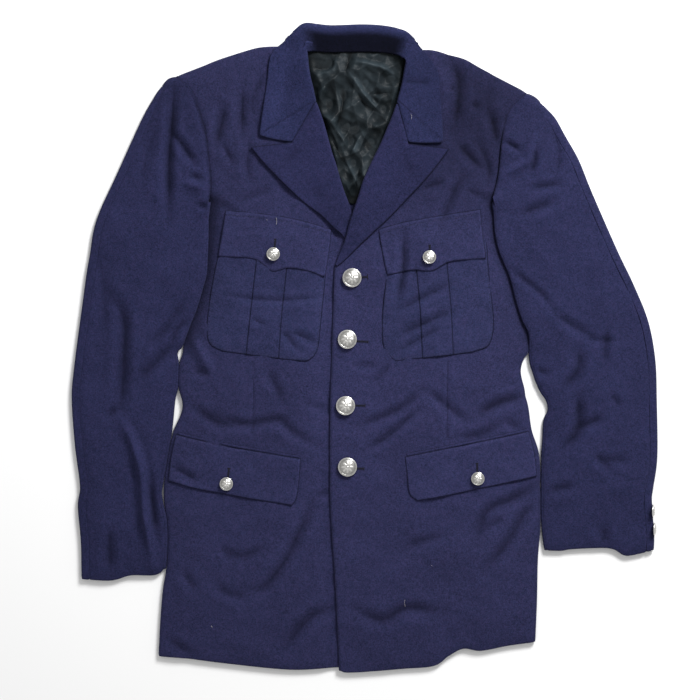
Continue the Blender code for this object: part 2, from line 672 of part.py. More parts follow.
def make_collar():
    """Roll along the inner edge on the fronts, level sheet, and a curl down behind the neck."""
    table = np.array(collar_sections, float)
    inner, outer, behind = table[:, :2], table[:, 2:4], table[:, 4]
    away = outer - inner
    away /= np.linalg.norm(away, axis=1)[:, None]
    roll_length = math.pi * ROLL_R
    curl_length = np.where(behind > 0, math.pi * COLLAR_R, 0.8)
    roll_turn = math.pi * (1 - behind)
    curl_turn = math.pi * behind
    start = inner + away * reach_of(roll_length, roll_turn, COLLAR_T)[:, None]
    end = outer - away * reach_of(curl_length, curl_turn, COLLAR_T)[:, None]
    share_across = np.linspace(0, 1, 5)[None, :]
    plan = start[:, None] + (end - start)[:, None] * share_across[..., None]
    base = FRONT_MID + neck_lift(inner[:, 0], inner[:, 1])
    bed = Bed("front_right", "front_left").top(plan[..., 0], plan[..., 1], 8.0)
    flat = np.maximum(bed, (base + FRONT_T / 2)[:, None]) + LAY + COLLAR_T / 2
    high = (base + 2 * ROLL_R)[:, None]
    laid = flat + np.maximum(high - flat, 0) * (1 - smooth_step(share_across / 0.75))
    band = BAND_MID + (RIDGE_MID - BAND_MID) * share_across
    height = laid + (band - laid) * behind[:, None]
    roll = bent_rows(start, -away, height[:, 0], roll_length, roll_turn, 5)[:, ::-1]
    curl = bent_rows(end, away, height[:, -1], curl_length, curl_turn, 5)
    wall("collar", np.concatenate([roll[:, :-1], raised(plan, height), curl[:, 1:]], 1), COLLAR_T)
    back = behind == 1
    first = end[back] - away[back] * 3 * SEAM
    level = np.full(back.sum(), COLLAR_T / 2)
    leaf = [raised(first - away[back] * UNDER_COLLAR_W * k, level)[:, None] for k in (0, 0.5, 1.0)]
    wall("under_collar", np.concatenate(leaf, 1), COLLAR_T)


def make_lapel(side):
    """Roll along the front's neck edge and a sheet that lies on the front."""
    rows = 9
    shape = lapel[side]
    roll = curve(shape["roll"], rows)
    edge = curve(shape["edge"], rows)
    gorge = np.linspace(shape["roll"][0], shape["notch"], 20)
    upper = np.linspace(shape["notch"], shape["edge"][0], 20)
    top = np.vstack([gorge, upper[1:]])
    bottom = np.linspace(roll[-1], edge[-1], len(top))
    plan = patch(roll, edge, top, bottom)
    length = np.linalg.norm(np.diff(plan, axis=1), axis=2).sum(1)[:, None]
    radius = roll_radius(rows)
    reach = (radius + LAPEL_T / 2)[:, None]
    notch = float((np.linalg.norm(gorge[-1] - gorge[0]) - reach[0, 0]) / (length[0, 0] - reach[0, 0]))
    shares = np.concatenate([np.linspace(0, notch, 4), np.linspace(notch, 1, 4)[1:]])
    plan = across_rows(plan, reach + (length - reach) * shares[None, :])
    away = plan[:, 0] - roll
    away /= np.linalg.norm(away, axis=1)[:, None]
    bed = Bed(f"front_{side}", f"breast_flap_{side}")
    base = front_height(side, plan[:, 0])
    flat = bed.top(plan[..., 0], plan[..., 1], 8.0) + LAY + LAPEL_T / 2
    high = (base + 2 * radius)[:, None]
    height = flat + np.maximum(high - flat, 0) * (1 - smooth_step(shares / 0.6))[None, :]
    turned = bent_rows(plan[:, 0], -away, height[:, 0], (height[:, 0] - base) / 2 * math.pi, np.full(rows, math.pi), 5)
    wall(f"lapel_{side}", np.concatenate([turned[:, :0:-1], raised(plan, height)], 1), LAPEL_T)


# ---------------------------------------------------------------- pockets and flaps
def laid_piece(name, outline, rows, cols, thickness, bed, pleat=None, reach=10.0):
    """A pocket or flap laid on 'bed'; a pleat is raised between two shares of the width."""
    shares = np.linspace(0, 1, cols)
    if pleat:
        near = 0.015
        inside = np.linspace(pleat[0] + near, pleat[1] - near, 3)
        before = np.linspace(0, pleat[0] - near, 3)
        after = np.linspace(pleat[1] + near, 1, 3)
        shares = np.concatenate([before, inside, after])
    top = curve(outline["top"], 101)[np.round(shares * 100).astype(int)]
    bottom = curve(outline["bottom"], 101)[np.round(shares * 100).astype(int)]
    plan = patch(curve(outline["left"], rows), curve(outline["right"], rows), top, bottom)
    height = bed.top(plan[..., 0], plan[..., 1], reach) + LAY + thickness / 2
    if pleat:
        height = height + PLEAT_RISE * ((shares > pleat[0]) & (shares < pleat[1]))[None, :]
    wall(name, raised(plan, height), thickness)


def make_pockets(side):
    laid_piece(f"breast_pocket_{side}", breast_pocket[side], 8, 9, POCKET_T, Bed(f"front_{side}"),
               (0.31, 0.56) if side == "right" else (0.38, 0.64))
    bed = Bed(f"front_{side}", f"breast_pocket_{side}")
    laid_piece(f"breast_flap_{side}", breast_flap[side], 6, 13, FLAP_T, bed)
    laid_piece(f"hip_flap_{side}", hip_flap[side], 5, 10, FLAP_T, Bed(f"front_{side}"))


# ---------------------------------------------------------------- buttons
def turned_button(diameter, sides, shank=True):
    """Domed button with a rim, about its own axis, its shank or flat back at 0."""
    r = diameter / 2
    rise = diameter * 0.21
    back = SHANK_L if shank else 0
    profile = [(SHANK_R, 0), (SHANK_R, back)] if shank else []
    profile += [(0.88 * r, back), (r, back + 0.3 * rise), (0.93 * r, back + 0.52 * rise)]
    profile += [(0.82 * r, back + 0.46 * rise), (0.5 * r, back + 0.86 * rise)]
    points = [(0, 0, 0)]
    for radius, z in profile:
        for k in range(sides):
            a = 2 * math.pi * k / sides
            points.append((radius * math.cos(a), radius * math.sin(a), z))
    points.append((0, 0, back + rise))
    faces = []
    for k in range(sides):
        n = (k + 1) % sides
        faces.append((0, 1 + n, 1 + k))
        for ring in range(len(profile) - 1):
            a = 1 + ring * sides
            faces.append((a + k, a + n, a + sides + n, a + sides + k))
        a = 1 + (len(profile) - 1) * sides
        faces.append((a + k, a + n, len(points) - 1))
    return points, faces


def make_buttons():
    bed = Bed("front_left", "breast_flap_right", "breast_flap_left", "hip_flap_right", "hip_flap_left")
    for name, (x, y, diameter) in buttons.items():
        points, faces = turned_button(diameter, 16 if diameter == BIG_BUTTON else 12)
        here = np.array([[x]]), np.array([[y]])
        under_shank = float(bed.top(*here, SHANK_R + 1)[0, 0])
        under_rim = float(bed.top(*here, diameter / 2)[0, 0])
        z = max(under_shank + LAY, under_rim + LAY - SHANK_L)
        add_object(name, points, faces, nickel(), (x, y, z))
    edge = curve(sleeve_outer["left"], 200)
    lean = math.radians(CUFF_BUTTON_LEAN)
    for name, y in CUFF_BUTTONS.items():
        x = float(np.interp(-y, -edge[:, 1], edge[:, 0])) + CUFF_BUTTON_OUT
        points, faces = turned_button(SMALL_BUTTON, 12, False)
        add_object(name, points, faces, nickel(), (x, y, CUFF_BUTTON_Z), (0, lean, 0))


def make_jacket():
    global jacket
    for thing in list(bpy.data.objects):
        bpy.data.objects.remove(thing, do_unlink=True)
    jacket = bpy.data.objects.new("jacket", None)
    bpy.context.scene.collection.objects.link(jacket)
    for side in ("right", "left"):
        make_front(side)
        make_side_panel(side)
        make_back(side)
        make_sleeve(side)
        make_pockets(side)
    make_lining()
    for side in ("right", "left"):
        make_lapel(side)
    make_collar()
    make_buttons()


make_jacket()
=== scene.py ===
import math

import bpy
import numpy as np
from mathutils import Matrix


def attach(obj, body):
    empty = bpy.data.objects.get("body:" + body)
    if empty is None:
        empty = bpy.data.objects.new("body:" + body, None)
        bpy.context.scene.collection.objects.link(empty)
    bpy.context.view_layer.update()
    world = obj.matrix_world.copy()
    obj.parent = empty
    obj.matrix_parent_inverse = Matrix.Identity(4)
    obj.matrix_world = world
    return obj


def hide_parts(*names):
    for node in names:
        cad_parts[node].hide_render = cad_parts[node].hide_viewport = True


# A dress uniform jacket laid flat. All tables are in millimetres: x to the viewer's right, y towards the
# collar, z up from the surface. Right and left are the wearer's, so the wearer's right side lies at -x.
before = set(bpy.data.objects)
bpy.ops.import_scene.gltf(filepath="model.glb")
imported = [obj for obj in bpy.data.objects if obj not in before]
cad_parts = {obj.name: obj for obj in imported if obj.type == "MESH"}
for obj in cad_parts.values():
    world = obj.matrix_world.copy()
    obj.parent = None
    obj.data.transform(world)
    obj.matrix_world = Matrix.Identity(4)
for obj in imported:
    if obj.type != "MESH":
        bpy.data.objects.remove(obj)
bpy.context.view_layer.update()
print("frame loaded:", len(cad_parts), "nodes")
mm = 0.001
sides = ("right", "left")

# Outlines of the pieces seen from above, close to the part's own.
shoulder = {
    "right": [(-225, 324), (-213, 328.8), (-202.3, 333), (-191.5, 337.2), (-172, 345), (-134, 357),
              (-119, 359.5), (-107, 360), (-97, 359.5), (-88, 357)],
    "left": [(194, 304), (184, 310), (161, 322), (139, 334), (119, 345), (99, 351), (81, 355.5), (64, 356)],
}
armhole = {
    "right": [(-225, 324), (-207, 307), (-196, 277), (-189, 249), (-184, 199), (-185.4, 176)],
    "left": [(194, 304), (178, 290), (170, 277), (164, 247), (160, 207), (154, 182)],
}
bodySide = {
    "right": [(-185, 173), (-188.2, 163), (-189.6, 141), (-191.8, 105), (-196.5, 80), (-203.5, 57),
              (-213, 30), (-217, 8), (-218, -8), (-221.4, -20), (-222.4, -46), (-217.4, -66), (-219.5, -80),
              (-228.6, -101), (-235.6, -135), (-239.2, -159), (-240, -173), (-239, -189), (-236, -207),
              (-235, -235), (-236.5, -262), (-241, -290), (-244, -327), (-246, -368)],
    "left": [(153.8, 179), (157, 168), (159, 139), (165, 112), (176, 86), (190.5, 36), (197, 19),
             (198.6, 4), (196, -6), (190, -14), (186.6, -29), (191.4, -51), (196.2, -75), (199.8, -99),
             (207.6, -123), (209.9, -147), (210, -183), (210, -207), (209.4, -225), (207, -255),
             (206, -303), (204, -351)],
}
closure = {
    "right": [(-0.6, 118), (-0.6, -63), (0, -255), (-0.6, -383)],
    "left": [(-35.4, 94.5), (-37.8, 16.5), (-40.6, -75), (-40.6, -183), (-35.4, -269), (-33, -315),
             (-30, -385)],
}
hem = {
    "right": [(-246, -368), (-209, -371), (-170, -376), (-89, -384), (-32, -381.5), (-0.6, -383)],
    "left": [(204, -351), (171, -355.5), (139, -361.5), (118, -359), (100, -368), (83, -379.5), (46, -383),
             (-16, -387.4), (-30, -385)],
}
centreBack = [(-13.8, 366.5), (-15, 177), (-17.4, -123), (-18.6, -381)]
backNeck = {
    "right": [(-56, 366.5), (-74, 358), (-90, 352)],
    "left": [(43, 366), (55, 358), (68, 350)],
}
sleeveInner = {
    "right": [(-186, 176), (-185.4, 141), (-186.6, 105), (-187.8, 87), (-192.6, 69), (-199.8, 45),
              (-209.4, 21), (-217.5, 1), (-223.6, -6), (-222.4, -20), (-223, -46), (-226.5, -63),
              (-230.5, -101), (-236.2, -135), (-239.8, -156), (-242.8, -173), (-240.5, -189),
              (-236.6, -207), (-235.6, -237), (-237.4, -264)],
    "left": [(152.5, 182), (154.2, 141), (159, 117), (166.2, 99), (173.4, 81), (179.4, 57), (187, 33),
             (195, 16), (196.5, -11), (200, -27), (209.4, -51), (217, -63), (219, -75), (214, -87),
             (212.6, -111), (211.4, -129), (210.9, -167), (210.9, -195), (212, -219), (215, -241.5)],
}
sleeveOuter = {
    "right": [(-226, 324.5), (-235.8, 320.8), (-245.4, 309), (-252.6, 297.3), (-265.8, 273.3),
              (-294.6, 210), (-320, 153), (-329, 106.5), (-338, 45), (-347.4, -27), (-349.8, -63),
              (-346, -117), (-340, -165), (-342.6, -189), (-339, -231), (-338, -276)],
    "left": [(195, 304.5), (205.8, 298.5), (217.8, 285.3), (228.6, 273.3), (241.8, 249.3), (256, 224),
             (272, 184.5), (302, 116), (322, 74), (339, 31), (347.4, -15), (349.2, -63), (349.8, -130),
             (345, -167), (343.3, -183), (346, -223.5), (345.6, -241.5)],
}
cuff = {
    "right": [(-240, -264), (-245, -269), (-255, -271.5), (-280, -271.5), (-303, -277.5), (-338, -276)],
    "left": [(215, -241.5), (234.6, -242), (249, -240), (292, -239), (309, -247), (318.6, -247.5),
             (345.6, -241.5)],
}
liningEdge = {
    "right": [(-55, 362.5), (-66, 353), (-69, 337), (-64, 304.5), (-53, 270), (-41, 226.5), (-31, 194),
              (-19, 174)],
    "left": [(41, 362), (51, 352), (53.5, 340), (48.6, 315), (39, 285), (26, 249), (4, 204), (-9, 174)],
}
collarInner = [(-57.6, 295.4), (-60.6, 309.3), (-64.2, 323.7), (-66.6, 338), (-67.8, 350), (-69, 359.7),
               (-69, 365.7), (-62, 365.5), (-55.8, 365), (-34, 365), (-7.8, 365), (18.6, 365), (41.4, 365),
               (48, 364.5), (53.4, 363.3), (52, 355), (49.8, 343), (46, 326), (43.8, 314), (41.4, 304.5),
               (39, 295)]
collarOuter = [(-125.4, 254.1), (-125.6, 258), (-120.6, 292.5), (-116.3, 321.3), (-112, 350),
               (-96.6, 365.7), (-83.5, 378), (-69, 387.2), (-41.4, 385), (-7.8, 386), (21, 385),
               (45, 379.5), (57, 370), (66.6, 358.5), (87, 332), (90.6, 303.3), (93, 273.3), (94, 250),
               (93.4, 246.4)]
collarEnd = {
    "right": [(-57.6, 295.4), (-84.9, 248.4), (-86, 246.3), (-88.5, 245.6), (-106, 248), (-122.4, 252.1),
              (-125.4, 254.1)],
    "left": [(39, 295), (50.9, 248.3), (52.2, 245.6), (55, 244.8), (71.4, 244), (90.6, 244.4),
             (93.4, 246.4)],
}
lapel = {
    "right": {
        "roll": [(-57, 293.5), (-50, 274.5), (-46, 260), (-41.4, 243.3), (-34.2, 219.3), (-27, 194),
                 (-17.8, 169)],
        "notch": (-86, 243.8),
        "edge": [(-134.6, 238.5), (-122.4, 223.5), (-104.3, 204.2), (-89.5, 189.7), (-76.1, 176.9),
                 (-62.8, 166.4), (-52.1, 158.8), (-44.2, 151), (-36.1, 143), (-28.1, 136.2)],
    },
    "left": {
        "roll": [(38.4, 292.3), (31.8, 274.5), (25.8, 260), (18.6, 243.3), (7.8, 221.7), (-1.8, 200),
                 (-7.8, 179.7), (-16.2, 154.5), (-23.4, 129.3)],
        "notch": (51.6, 242.1),
        "edge": [(99.7, 236.6), (89.4, 222.3), (78.6, 208.5), (65.4, 193.5), (51, 178.5), (31.8, 158),
                 (11.4, 139), (-6.6, 122)],
    },
}
# Below the part's lapels: where each one ends, the left in a point at the closure, the right under the left.
lapelTail = {
    "right": {"roll": [(-14, 157), (-11, 147)], "edge": [(-23.5, 130.6), (-17, 123)]},
    "left": {"roll": [(-28.8, 117), (-33, 107), (-34.8, 100)],
             "edge": [(-18.3, 109.7), (-27, 101.8), (-33, 97.5)]},
}
pleatLines = {
    "right": ([(-129, 103), (-136.2, 39.3), (-141, -6.3)], [(-93, 95), (-99, 39.3), (-102.6, -12.3)]),
    "left": ([(61.8, 95), (66.6, 39.3), (69, -12.3)], [(97.8, 101), (102.6, 48.9), (105.6, -8.2)]),
}
breastPocket = {
    "right": {
        "top": [(-170.4, 125.7), (-136, 122), (-98, 117.3), (-46.5, 103)],
        "left": [(-170.4, 125.7), (-176.4, 103), (-184, 62), (-188, 25), (-184.4, 4.5), (-169.8, -4)],
        "right": [(-46.5, 103), (-47, 81), (-50, 51), (-52.4, 27), (-54.6, 5.7), (-56.2, -3),
                  (-60.6, -10.5)],
        "bottom": [(-169.8, -4), (-140.4, -8), (-102.6, -12.8), (-84, -14.8), (-69, -15.4), (-60.6, -10.5)],
    },
    "left": {
        "top": [(23.4, 105.3), (60.6, 115), (102.6, 122), (145.8, 125.7)],
        "left": [(23.4, 105.3), (25.3, 81), (21, 34.5), (23.4, -1.5), (36.6, -16)],
        "right": [(145.8, 125.7), (148, 93), (151.8, 57), (154, 27), (148, 3.3), (129, -5)],
        "bottom": [(36.6, -16), (69, -12.3), (105.6, -8.2), (129, -5)],
    },
}
breastFlap = {
    "right": {
        "top": [(-165.6, 164), (-130, 161), (-94, 155.7), (-65.4, 149), (-39.4, 141.3)],
        "left": [(-165.6, 164), (-169.8, 136.5), (-174.1, 112.4), (-173.6, 109.8)],
        "right": [(-39.4, 141.3), (-42.6, 112.5), (-46.8, 87.8), (-48, 85.5)],
        "bottom": [(-173.6, 109.8), (-170.5, 108.8), (-135, 106.5), (-122, 100), (-109.8, 91), (-90.6, 95),
                   (-69, 92), (-51, 85.7), (-48, 85.5)],
    },
    "left": {
        "top": [(16.8, 141.3), (41.4, 148.5), (79.8, 156), (108.6, 160.5), (138, 165.3)],
        "left": [(16.8, 141.3), (21, 115), (26.2, 90), (27.8, 87.7)],
        "right": [(138, 165.3), (141, 135.3), (144.2, 109.8), (143.2, 107.3)],
        "bottom": [(27.8, 87.7), (30.6, 87.3), (57, 92.7), (71.4, 91.5), (82, 92), (93, 98.5), (105, 103.4),
                   (140.6, 106.3), (143.2, 107.3)],
    },
}
hipFlap = {
    "right": {
        "top": [(-225.2, -103.2), (-200, -109.5), (-159, -118), (-116, -125.7), (-76, -132.3)],
        "left": [(-225.2, -103.2), (-231, -131), (-234.3, -158.6)],
        "right": [(-76, -132.3), (-78, -156), (-81, -178), (-86.4, -187.5)],
        "bottom": [(-234.3, -158.6), (-204.6, -167), (-165.6, -174.3), (-125.4, -181.5), (-86.4, -187.5)],
    },
    "left": {
        "top": [(48.4, -130), (78.6, -124), (120.6, -115.5), (162.6, -107), (196, -99.8)],
        "left": [(48.4, -130), (51, -154), (54, -174.3), (63, -182)],
        "right": [(196, -99.8), (202.6, -126), (205.6, -153)],
        "bottom": [(63, -182), (90.6, -177.3), (128, -169.5), (162.6, -162.3), (205.6, -153)],
    },
}

# The cloth: thicknesses, levels and reaches.
cloth = {
    "backThick": 1.5, "frontThick": 1.8, "sleeveThick": 1.5, "liningThick": 1.0, "collarThick": 2.0,
    "lapelThick": 2.2, "pocketThick": 0.95, "flapThick": 1.0,
    "seam": 0.3,           # between sewn pieces
    "lay": 0.35,           # under a piece that lies on another
    "backMiddle": 0.75,
    "frontMiddle": 4.6,    # fronts at their edge
    "frontLowest": 2.78,   # a trough goes down to the back
    "lapDrop": 2.7,        # the right front under the left one
    "edgeRise": 2.4,       # body: quick rise from its edge, and how far in
    "edgeReach": 8.0,
    "crown": 2.0,          # body: slow rise towards its middle
    "crownReach": 80.0,
    "sleeveMiddle": 5.0,
    "sleeveEdgeRise": 2.6,
    "sleeveEdgeReach": 8.0,
    "sleeveCrown": 1.6,
    "neckLift": 2.3,
    "sideRadius": 1.925,
    "armRadius": 2.125,
    "rollRadius": 3.0,
    "rollRadiusLow": 1.8,
    "hindSeamIn": 9.0,
    "sideSeamIn": 28.0,
    "underCollar": 38.0,
    "creaseWidth": 0.68,   # all creases of the wool together
    "creaseDepth": 2.1,    # all creases of the wool together
    "creaseShade": 0.22,    # painted shade: troughs are that much darker and ridges lighter, for each millimetre of the creases' height that still changes the painted shade
    "creaseShadeRange": (-2.4, 0.5),  # of the creases' height that still changes the tone
    "overLift": 4.65,      # the sleeve's edge where it lies over the body
}

# Creases: points along each one, its width and its rise (a trough is negative).
bodyCreases = [
    # wearer's right chest and shoulder
    ([(-167, 286), (-178, 241)], 7, -1.6),
    ([(-146, 310), (-147, 259)], 8, -1.5),
    ([(-165, 235), (-158, 217)], 6, -1.0),
    ([(-146, 176), (-113, 188)], 6, -0.9),
    ([(-171, 291), (-176, 267), (-179, 243)], 6, -0.6),
    ([(-149, 291), (-147, 271), (-149, 249)], 6, -0.5),
    ([(-169, 241), (-163, 228)], 4, -0.8),
    ([(-137, 252), (-141, 215), (-134, 190)], 6, -0.9),
    ([(-118, 330), (-134, 296), (-132, 268)], 7, -1.0),
    ([(-176, 172), (-150, 160)], 5, -0.8),
    # right pocket
    ([(-167, 62), (-135, 58), (-98, 56), (-46, 60)], 5, -0.9),
    ([(-135, 34), (-119, 26)], 5, -0.9),
    ([(-100, 21), (-81, -3)], 6, -1.2),
    ([(-89, 19), (-55, 4)], 6, -1.1),
    # right waist
    ([(-210, 18), (-183, -32)], 8, 1.8),
    ([(-205, -28), (-185, -33)], 6, -1.4),
    ([(-205, -71), (-178, -90), (-151, -95)], 7, -1.7),
    ([(-181, -80), (-143, -92), (-103, -87), (-87, -101), (-55, -119)], 7, -1.8),
    ([(-116, -28), (-98, -66)], 7, -1.5),
    ([(-71, -66), (-44, -76)], 6, -1.0),
    ([(-229, -143), (-200, -160)], 7, -1.3),
    # right skirt
    ([(-57, -177), (-44, -174)], 6, -1.2),
    ([(-61, -182), (-76, -216), (-98, -258), (-124, -288), (-148, -286)], 8, -2.0),
    ([(-172, -237), (-159, -256)], 7, -1.2),
    ([(-165, -240), (-146, -251), (-119, -237)], 7, -1.3),
    ([(-178, -280), (-167, -293), (-140, -300)], 7, -1.3),
    ([(-218, -267), (-202, -291)], 7, -1.3),
    ([(-98, -363), (-65, -323), (-35, -312)], 9, -1.9),
    ([(-235, -350), (-207, -366)], 8, -1.3),
    # wearer's left shoulder and chest
    ([(99, 347), (111, 324), (112, 296), (106, 259)], 11, -1.8),
    ([(126, 333), (132, 300), (124, 262)], 10, -0.7),
    ([(150, 318), (146, 290), (152, 262)], 10, -0.7),
    ([(134, 245), (148, 214), (146, 190)], 6, -1.1),
    ([(120, 188), (146, 178)], 5, -0.8),
    ([(103, 310), (105, 307)], 6, -1.0),
    ([(127, 291), (137, 286)], 7, -0.8),
    ([(151, 278), (158, 243)], 7, -1.4),
    ([(110, 243), (142, 211)], 7, -1.4),
    ([(67, 187), (94, 198)], 6, -1.1),
    ([(116, 206), (88, 144)], 7, -1.4),
    # left pocket
    ([(46, 136), (45, 91), (38, 48)], 6, -2.0),
    ([(38, 43), (99, 74)], 6, -1.3),
    ([(40, 13), (103, 43)], 7, -1.5),
    ([(38, -6), (94, 26)], 6, -1.3),
    # left waist
    ([(-1, -125), (34, -101), (63, -74)], 6, -2.0),
    ([(-9, -95), (41, -74), (69, -50)], 6, -1.8),
    ([(9, -45), (31, -21)], 6, -1.2),
    ([(-17, -21), (15, -23)], 5, -1.0),
    ([(71, -50), (122, -89)], 7, -1.6),
    ([(133, -82), (163, -66), (189, -60)], 8, -2.6),
    ([(109, -107), (135, -106), (159, -94)], 7, -1.5),
    ([(165, -87), (184, -98)], 6, -1.2),
    # left skirt
    ([(133, -234), (146, -197), (176, -182), (208, -165)], 8, -2.2),
    ([(141, -221), (165, -202)], 7, -1.4),
    ([(141, -269), (170, -234), (200, -182)], 8, -1.9),
    ([(50, -243), (63, -234), (95, -224)], 7, -1.4),
    ([(-17, -310), (20, -326), (50, -312), (95, -317)], 9, -2.0),
]
sleeveCreases = {
    "right": [
        ([(-228.6, 311.7), (-229.8, 285.3), (-232.2, 255.3), (-234.6, 225.3), (-234.6, 183.3),
          (-235.8, 150)], 7, -2.6),
        ([(-231, 257.7), (-221.4, 245.7), (-211.8, 231.3), (-202.2, 218.1)], 6, -2.0),
        ([(-250, 262), (-262, 225), (-266, 190)], 8, -0.9),
        ([(-231, 3.3), (-223.8, 21.3), (-209.4, 33.3)], 6, -1.5),
        ([(-215, 195), (-191, 189)], 7, 1.6),
        ([(-199, 171), (-187, 166)], 5, -2.0),
        ([(-207, 205), (-196, 201)], 5, -1.4),
        ([(-213, 60), (-243, 18), (-262, 2)], 8, -1.1),
        ([(-320, 120), (-312, 60), (-312, 10)], 9, -0.8),
        ([(-304, 63), (-288, 32), (-289, -27), (-290, -47), (-293, -82)], 9, -2.2),
        ([(-293, -82), (-277, -114), (-266, -154), (-263, -195), (-253, -261)], 7, 3.2),
        ([(-259, -154), (-250, -224)], 7, -2.2),
        ([(-272, -41), (-231, 1)], 8, -1.6),
        ([(-307, -82), (-296, -74)], 6, -1.3),
        ([(-305, -216), (-305, -269)], 8, -1.8),
    ],
    "left": [
        ([(166.2, 245.7), (177, 239.7), (184.2, 233.7)], 5, -1.9),
        ([(162.6, 203.7), (180.6, 213.3), (195, 222.9), (199.8, 237.3), (205.8, 249.3)], 6, 1.5),
        ([(198.6, 207.3), (203, 222), (204.6, 237.3)], 5, -1.8),
        ([(198.6, 189.3), (234.6, 195.3)], 6, -1.5),
        ([(173.4, 93.3), (192.6, 77.7), (210.6, 63.3), (226.2, 42.9)], 5, -1.4),
        ([(222, 270), (232, 235), (228, 205)], 7, -0.9),
        ([(185, 158), (225, 174)], 7, -1.8),
        ([(226, 42), (240, 30), (271, 13)], 7, -1.4),
        ([(262, 14), (279, 8), (303, 8)], 6, -0.9),
        ([(205, -28), (219, -32)], 6, -1.4),
        ([(256, -2), (254, -28), (235, -50)], 8, -2.0),
        ([(254, -56), (254, -98), (235, -122)], 8, -2.2),
        ([(254, -98), (283, -84)], 7, -1.8),
        ([(289, 22), (285, -21)], 7, -1.6),
        ([(293, -56), (304, -71)], 6, -1.2),
        ([(274, -128), (296, -149)], 7, -1.4),
        ([(285, -134), (313, -136)], 7, -1.4),
        ([(219, -173), (250, -165)], 7, -1.5),
        ([(285, -216), (285, -234)], 8, -1.6),
    ],
}
liningCreases = [
    ([(-15.6, 359.7), (-21.5, 333.6), (-25.7, 325.3)], 4, -2.2),
    ([(-61.8, 334.5), (-48.4, 332.8)], 4, -1.5),
    ([(-33.2, 348.8), (-38.3, 332), (-55.1, 325.3)], 4, 2.4),
    ([(-25.7, 313.4), (-25.7, 298.3), (-28.2, 281.4), (-34.1, 261.2)], 4, -2.4),
    ([(-52.6, 281.4), (-34.1, 261.2), (-19.8, 237.7)], 5, 2.2),
    ([(-16.4, 340.4), (2.2, 338.7), (24, 332), (40.9, 321.9)], 4, 2.6),
    ([(-19.8, 328.6), (-9.6, 315.1), (2.2, 298.3), (19, 281.4)], 3.5, 2.8),
    ([(-9.6, 308.3), (17.3, 283.1)], 3.5, 2.2),
    ([(7.2, 303.3), (35.8, 303.3)], 4, -1.8),
    ([(2.2, 345.4), (27.4, 355.5)], 4, 1.8),
    ([(-4.6, 254.5), (-16.4, 230.9)], 4.5, 2.8),
    ([(-24.8, 229.3), (-4.6, 187.1)], 4, 2.0),
    ([(-6.2, 214.1), (-11.3, 187.1)], 3.5, -1.8),
    ([(-45, 312), (-58, 300)], 4, 1.8),
    ([(8, 262), (26, 268)], 4, 1.7),
    ([(-38, 246), (-22, 214)], 4, -1.8),
]


# 0 below 0, 1 above 1, smooth between.
def smoothStep(x):
    x = np.clip(x, 0.0, 1.0)
    return x * x * (3 - 2 * x)


# 1 in the middle, falling as a bell.
def bell(x):
    return np.exp(-x * x)


# The larger of two surfaces, with the corner between them rounded.
def softMax(a, b, rounding=0.6):
    return 0.5 * (a + b + np.sqrt((a - b) ** 2 + rounding**2))


# 'rows' points at even distances along a smooth curve through 'points'.
def curve(points, rows, start=0.0, end=1.0):
    pts = np.array(points, float)
    ends = np.vstack([2 * pts[0] - pts[1], pts, 2 * pts[-1] - pts[-2]])
    t = np.linspace(0, 1, 24, endpoint=False)[:, None]
    dense = []
    for a, b, c, d in zip(ends[:-3], ends[1:-2], ends[2:-1], ends[3:]):
        dense.append(0.5 * (2 * b + (c - a) * t + (2 * a - 5 * b + 4 * c - d) * t**2
                            + (3 * b - 3 * c + d - a) * t**3))
    dense = np.vstack(dense + [pts[-1:]])
    return along(dense, np.linspace(start, end, rows))


# Distance along a line of points, from its start.
def runOf(line):
    return np.concatenate([[0], np.cumsum(np.linalg.norm(np.diff(line, axis=0), axis=1))])


# The same from 0 to 1.
def shareOf(line):
    run = runOf(line)
    return run / run[-1]


# Vectors brought to the length 1.
def unit(vectors):
    return vectors / np.maximum(np.linalg.norm(vectors, axis=-1), 1e-9)[..., None]


# Points at shares of the length of a line of points.
def along(line, shares):
    line = np.asarray(line, float)
    run = runOf(line)
    at = np.asarray(shares) * run[-1]
    return np.stack([np.interp(at, run, values) for values in line.T], 1)


# Unit normals to the right of a line of points.
def sideways(line):
    way = unit(np.gradient(line, axis=0))
    return np.stack([way[:, 1], -way[:, 0]], 1)


# A line from its point nearest 'start' to its end, or to its point nearest 'end'.
def trimmed(line, start, rows, end=None):
    dense = curve(line, 400)
    first = int(np.argmin(np.linalg.norm(dense - start, axis=1)))
    last = len(dense) - 1 if end is None else int(np.argmin(np.linalg.norm(dense - end, axis=1)))
    part = dense[first:last + 1] if first < last else dense[last:first + 1][::-1]
    return curve(part, rows)


# Coons patch: rows run from the left line to the right one, columns from top to bottom.
def patch(left, right, top, bottom):
    top = top.copy()
    bottom = bottom.copy()
    top[0], top[-1], bottom[0], bottom[-1] = left[0], right[0], left[-1], right[-1]
    v = ((shareOf(left) + shareOf(right)) / 2)[:, None, None]
    u = ((shareOf(top) + shareOf(bottom)) / 2)[None, :, None]
    across = (1 - u) * left[:, None] + u * right[:, None]
    down = (1 - v) * top[None] + v * bottom[None]
    corners = (1 - u) * (1 - v) * left[0] + u * (1 - v) * right[0]
    corners = corners + (1 - u) * v * left[-1] + u * v * right[-1]
    return across + down - corners


# A plan grid with its height as the third value.
def raised(plan, height):
    return np.concatenate([plan, np.broadcast_to(height, plan.shape[:-1])[..., None]], -1)


# Fold between two levels: a point of each row turns about the middle, from angle to angle.
def halfRound(base, outward, low, high, angles, bulge=1.0):
    r = ((high - low) / 2)[:, None]
    turn = np.radians(np.array(angles, float))[None, :]
    plan = base[:, None, :] + outward[:, None, :] * (bulge * r * np.cos(turn))[..., None]
    return raised(plan, (low[:, None] + r) + r * np.sin(turn))


